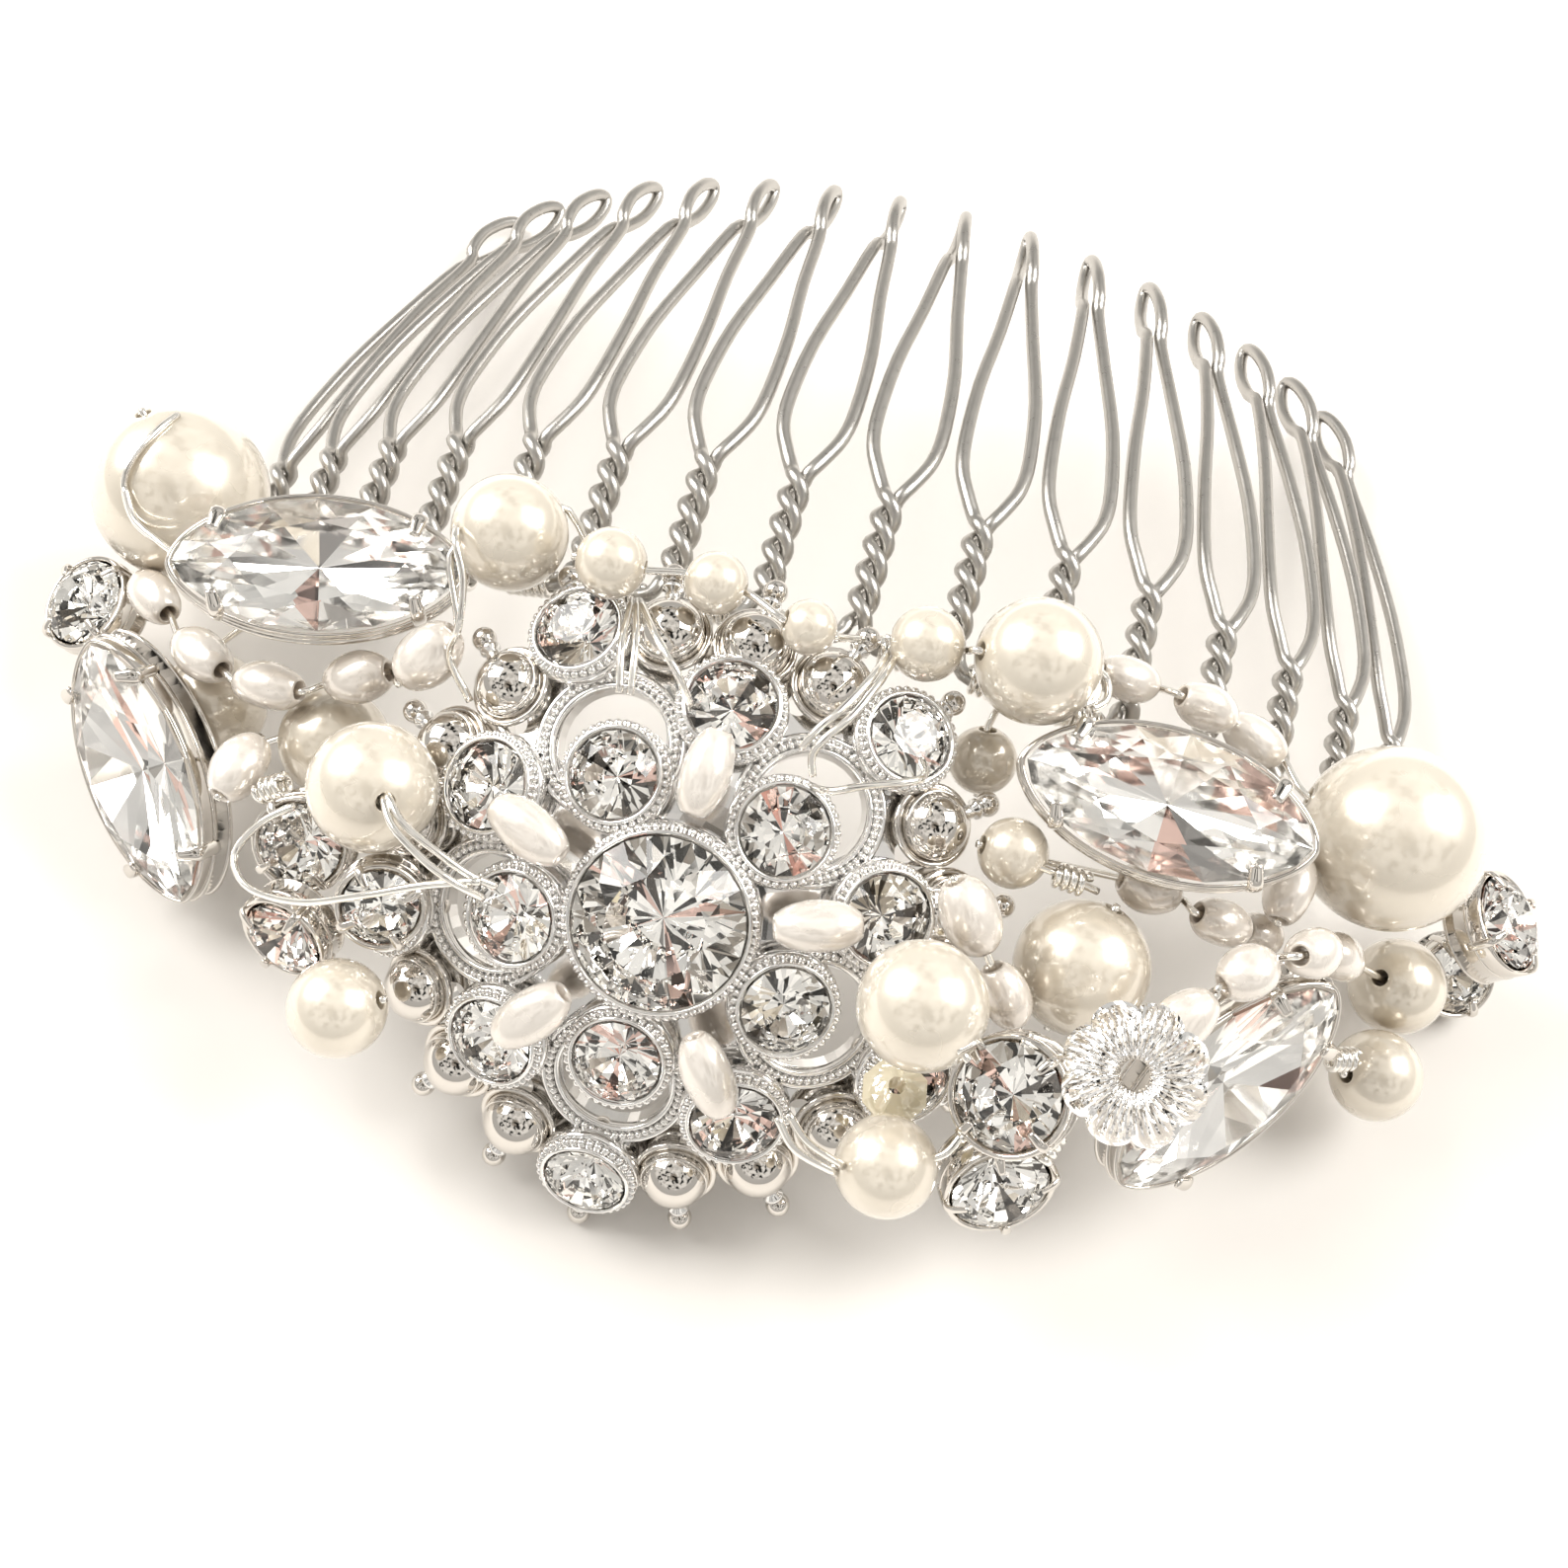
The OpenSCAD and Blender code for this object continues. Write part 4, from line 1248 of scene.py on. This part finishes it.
class COMB_OT_glass_beads(bpy.types.Operator):
    """Builds the glass flower and the champagne bicone"""
    bl_idname = "tiara.glass_beads"
    bl_label = "Glass beads"

    def execute(self, context):
        place, half, r = bore_seat(solids("flower_bead")[0])
        made = Form().add(flower(r, half, hole_r=0.7 * MM, lobes=8), place, smooth=False).piece(
            "flower_bead_glass", ["flower_glass"])
        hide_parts("flower_bead")
        place, half, r = bore_seat(solids("bicone_bead")[0])
        bore = context.scene.tiara_beads.hole_d / 2
        profile = [(bore, half), (0.62 * r, 0.55 * half), (r, 0.06 * half), (r, -0.06 * half),
                   (0.62 * r, -0.55 * half), (bore, -half)]
        made = Form().add(turned(profile, 8, closed=True), place, smooth=False).piece(
            "bicone_bead_cut", ["champagne_crystal"])
        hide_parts("bicone_bead")
        return {"FINISHED"}


# Binding wires


def bead_seat(name):
    """A bead's middle, the direction of its hole and its half length, from the frame."""
    node, i = name if isinstance(name, tuple) else (name, 0)
    place, half, _ = bore_seat(solids(node)[i])
    return np.array(place.col[3][:3]), np.array(place.col[2][:3]), half


def rested(points):
    """Points of the comb's own frame, laid down as it rests."""
    turn = np.array(AT_REST)
    return np.asarray(points) @ turn[:3, :3].T + turn[:3, 3]


def bar_wrap(comb, look, link, x0, x1, turns):
    """A coil of binding wire round a link of the bar, from x0 to x1 along it."""
    steps = 12
    count = turns * steps
    r = comb.wire_d / 2 + look.thread_d / 2
    return list(rested([on_tooth(comb, link + 0.5, (
        x0 + (x1 - x0) * j / count,
        bar_y(comb) + r * math.cos(FULL_TURN * j / steps),
        r * math.sin(FULL_TURN * j / steps))) for j in range(count + 1)]))


def thread_stops(comb, look, start, names, end):
    """A thread's points in the shared frame: in and out of each bead, and a coil at each end link."""
    stops = []
    if start is not None:
        stops += bar_wrap(comb, look, start, -1.2 * MM, 1.1 * MM, look.wraps)
    seats = [bead_seat(name) for name in names]
    for i, (middle, axis, half) in enumerate(seats):
        towards = axis
        if i + 1 < len(seats):
            towards = seats[i + 1][0] - middle
        elif stops:
            towards = middle - stops[-1]
        if axis @ towards < 0:
            axis = -axis
        reach = half + 0.25 * MM
        stops += [middle + share * reach * axis for share in (-1, -0.5, 0.5, 1)]
    if end is not None:
        stops += bar_wrap(comb, look, end, -1.1 * MM, 1.2 * MM, look.wraps)
    return stops


def arc_points(comb, stops):
    """Places given in degrees along the arch, Y and lift in mm, in the shared frame."""
    return rested([on_arc(comb, math.radians(a), y * MM, lift * MM) for a, y, lift in stops])


def small_coil(comb, look, middle, axis):
    """A short tight coil round an axis given along the arch, along Y and outwards."""
    place = frame_matrix(
        on_arc(comb, math.radians(middle[0]), middle[1] * MM, middle[2] * MM), (0.1, 0.2, 1),
        Matrix.Rotation(math.radians(middle[0]), 3, "Y") @ Vector(axis))
    r = 1.3 * look.thread_d
    turns = np.linspace(-COIL_TURNS / 2, COIL_TURNS / 2, 12 * COIL_TURNS + 1)
    return [tuple(AT_REST @ place @ Vector((
        r * math.cos(FULL_TURN * t), r * math.sin(FULL_TURN * t), 1.05 * look.thread_d * t))) for t in turns]


class COMB_OT_binding_wires(bpy.types.Operator):
    """Threads the binding wire through the beads and coils it round the bar"""
    bl_idname = "tiara.binding_wires"
    bl_label = "Binding wires"

    def execute(self, context):
        comb = context.scene.tiara_comb_wire
        look = context.scene.tiara_beads
        used = [link for threads in THREADS.values() for first, _, last in threads for link in (first, last)]
        for node, links in WRAPPED_LINKS.items():
            form = Form()
            paths = [smooth_path(thread_stops(comb, look, *thread), 4) for thread in THREADS[node]]
            paths += [smooth_path(arc_points(comb, stops), 6) for stops in LOOSE_WIRES[node]]
            paths += [small_coil(comb, look, middle, axis) for middle, axis in COILS[node]]
            for link in links:
                if link not in used:
                    coil = bar_wrap(comb, look, link, -1.3 * MM, 1.3 * MM, look.wraps + 1)
                    paths.append(smooth_path(coil, 2))
            for path in paths:
                form.add(tube(path, look.thread_d / 2, 8))
            made = form.piece(node + "_drawn", ["silver_wire"])
            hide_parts(node)
        return {"FINISHED"}


# Stage


# The camera, in the comb's own frame
CAMERA_PLACE = Vector((6.51, -52.74, 91.1)) * MM
CAMERA_RIGHT = Vector((0.9676, 0.2493, 0.039))
CAMERA_FORWARD = Vector((-0.0554, 0.3608, -0.931))
# The photograph's side and the camera's focal length, both in pixels
IMAGE_SIDE = 1588
FOCAL_PIXELS = 2000
SENSOR_MM = 36

# A cut stone throws light between its facets many times
LIGHT_BOUNCES = 12
# Windows: name, place and size in metres, share of the window power
WINDOWS = [
    ("window_left", (-0.46, 0.11, 0.395), (0.34, 0.42), 1),
    ("window_right", (0.384, 0.174, 0.432), (0.30, 0.36), 0.8),
]
WINDOW_COLOUR = (1, 0.98, 0.945)
WINDOW_TARGET = Vector((0, -0.01, 0.01))


def window(name, place, size, power):
    light = bpy.data.lights.new(name, "AREA")
    light.shape = "RECTANGLE"
    light.size, light.size_y = size
    light.energy = power
    light.color = WINDOW_COLOUR
    made = bpy.data.objects.new(name, light)
    made.location = place
    made.rotation_euler = (WINDOW_TARGET - made.location).to_track_quat("-Z", "Y").to_euler()
    bpy.context.scene.collection.objects.link(made)


class COMB_OT_stage(bpy.types.Operator):
    """Sets the pale floor, the windows' light and the camera"""
    bl_idname = "tiara.stage"
    bl_label = "Stage"

    def execute(self, context):
        scene = context.scene
        look = scene.tiara_stage
        half = look.floor_side / 2
        mesh = bpy.data.meshes.new("floor")
        square = [(x * half, y * half, 0) for x, y in ((-1, -1), (1, -1), (1, 1), (-1, 1))]
        mesh.from_pydata(square, [], [(0, 1, 2, 3)])
        floor = bpy.data.objects.new("floor", mesh)
        scene.collection.objects.link(floor)

        def paper(shading):
            specks = shading.noise(400, 3)
            return {"Base Color": shading.blend(
                specks, [0.985 * c for c in look.floor_colour], look.floor_colour)}
        mesh.materials.append(material("pale_paper", {"Roughness": 0.9, "Specular IOR Level": 0.1}, paper))
        self.room(scene, look)
        camera = bpy.data.cameras.new("camera")
        camera.sensor_width = SENSOR_MM
        camera.lens = SENSOR_MM * FOCAL_PIXELS / IMAGE_SIDE
        camera.clip_start = 0.005
        made = bpy.data.objects.new("camera", camera)
        back = -CAMERA_FORWARD.normalized()
        up = back.cross(CAMERA_RIGHT).normalized()
        right = up.cross(back)
        turn = Matrix((right, up, back)).transposed().to_4x4()
        made.matrix_world = AT_REST @ Matrix.Translation(CAMERA_PLACE) @ turn
        scene.collection.objects.link(made)
        scene.camera = made
        scene.view_settings.view_transform = "Standard"
        scene.cycles.glossy_bounces = LIGHT_BOUNCES
        scene.cycles.max_bounces = LIGHT_BOUNCES
        return {"FINISHED"}

    def room(self, scene, look):
        world = bpy.data.worlds.new("room")
        scene.world = world
        world.use_nodes = True
        shading = Shading(world.node_tree)
        ray = shading.node("ShaderNodeTexCoord", output="Generated")
        # The room is dim only near one direction overhead, where a photographer leans over the comb
        back = AT_REST.to_3x3() @ -CAMERA_FORWARD
        near = shading.node(
            "ShaderNodeVectorMath", {"operation": "DOT_PRODUCT"}, {0: ray, 1: back}, output="Value")
        shade = shading.node("ShaderNodeValToRGB", {"stops": [
            (0.0, (1.05, 1.02, 0.96, 1)), (0.5, (1.06, 1.02, 0.96, 1)), (0.8, (1.15, 1.11, 1.05, 1)),
            (0.97, (1.15, 1.11, 1.05, 1)), (0.988, (0.45, 0.40, 0.34, 1))]}, {"Fac": near})
        # Dark and bright patches overhead, for the facets and the silver to mirror
        patches = shading.node("ShaderNodeTexNoise", {}, {"Vector": ray, "Scale": 5.5, "Detail": 1.5})
        things = shading.node("ShaderNodeValToRGB", {"stops": [
            (0.39, (0.05, 0.05, 0.05, 1)), (0.42, (1.0, 1.0, 1.0, 1)), (0.53, (1.25, 1.25, 1.25, 1)),
            (0.60, (1.6, 1.6, 1.6, 1))]}, {"Fac": patches})
        height = shading.node("ShaderNodeSeparateXYZ", {}, {"Vector": ray}, output="Z")
        overhead = shading.node(
            "ShaderNodeValToRGB", {"stops": [(0.30, (0, 0, 0, 1)), (0.42, (1, 1, 1, 1))]}, {"Fac": height})
        room = shading.node("ShaderNodeMix", {"data_type": "RGBA", "blend_type": "MULTIPLY"},
                            {0: overhead, 6: shade, 7: things}, output=2)
        light = shading.node("ShaderNodeBackground", {}, {"Color": room, "Strength": look.sky})
        shading.node("ShaderNodeOutputWorld", {}, {"Surface": light})
        for name, place, size, share in WINDOWS:
            window(name, place, size, look.window_power * share)


OPERATORS = [
    COMB_OT_stage,
    COMB_OT_wire_comb,
    COMB_OT_brooch_frame,
    COMB_OT_brooch_stones,
    COMB_OT_pearls,
    COMB_OT_rice_pearls,
    COMB_OT_navettes,
    COMB_OT_chatons,
    COMB_OT_glass_beads,
    COMB_OT_binding_wires,
]


class COMB_PT_panel(bpy.types.Panel):
    """Lists the pieces of the comb and their settings"""
    bl_label = "Tiara comb"
    bl_idname = "COMB_PT_panel"
    bl_space_type = "VIEW_3D"
    bl_region_type = "UI"
    bl_category = "Tiara comb"

    def draw(self, context):
        for name, group in SETTINGS.items():
            box = self.layout.box()
            for key in group.__annotations__:
                box.prop(getattr(context.scene, name), key)
        for operator in OPERATORS:
            self.layout.operator(operator.bl_idname)


CLASSES = [*SETTINGS.values(), *OPERATORS, COMB_PT_panel]


def register():
    for made in CLASSES:
        bpy.utils.register_class(made)
    for name, group in SETTINGS.items():
        setattr(bpy.types.Scene, name, bpy.props.PointerProperty(type=group))


def unregister():
    for name in SETTINGS:
        delattr(bpy.types.Scene, name)
    for made in reversed(CLASSES):
        bpy.utils.unregister_class(made)


def main():
    register()
    for operator in OPERATORS:
        family, name = operator.bl_idname.split(".")
        getattr(getattr(bpy.ops, family), name)()


if __name__ == "__main__":
    main()
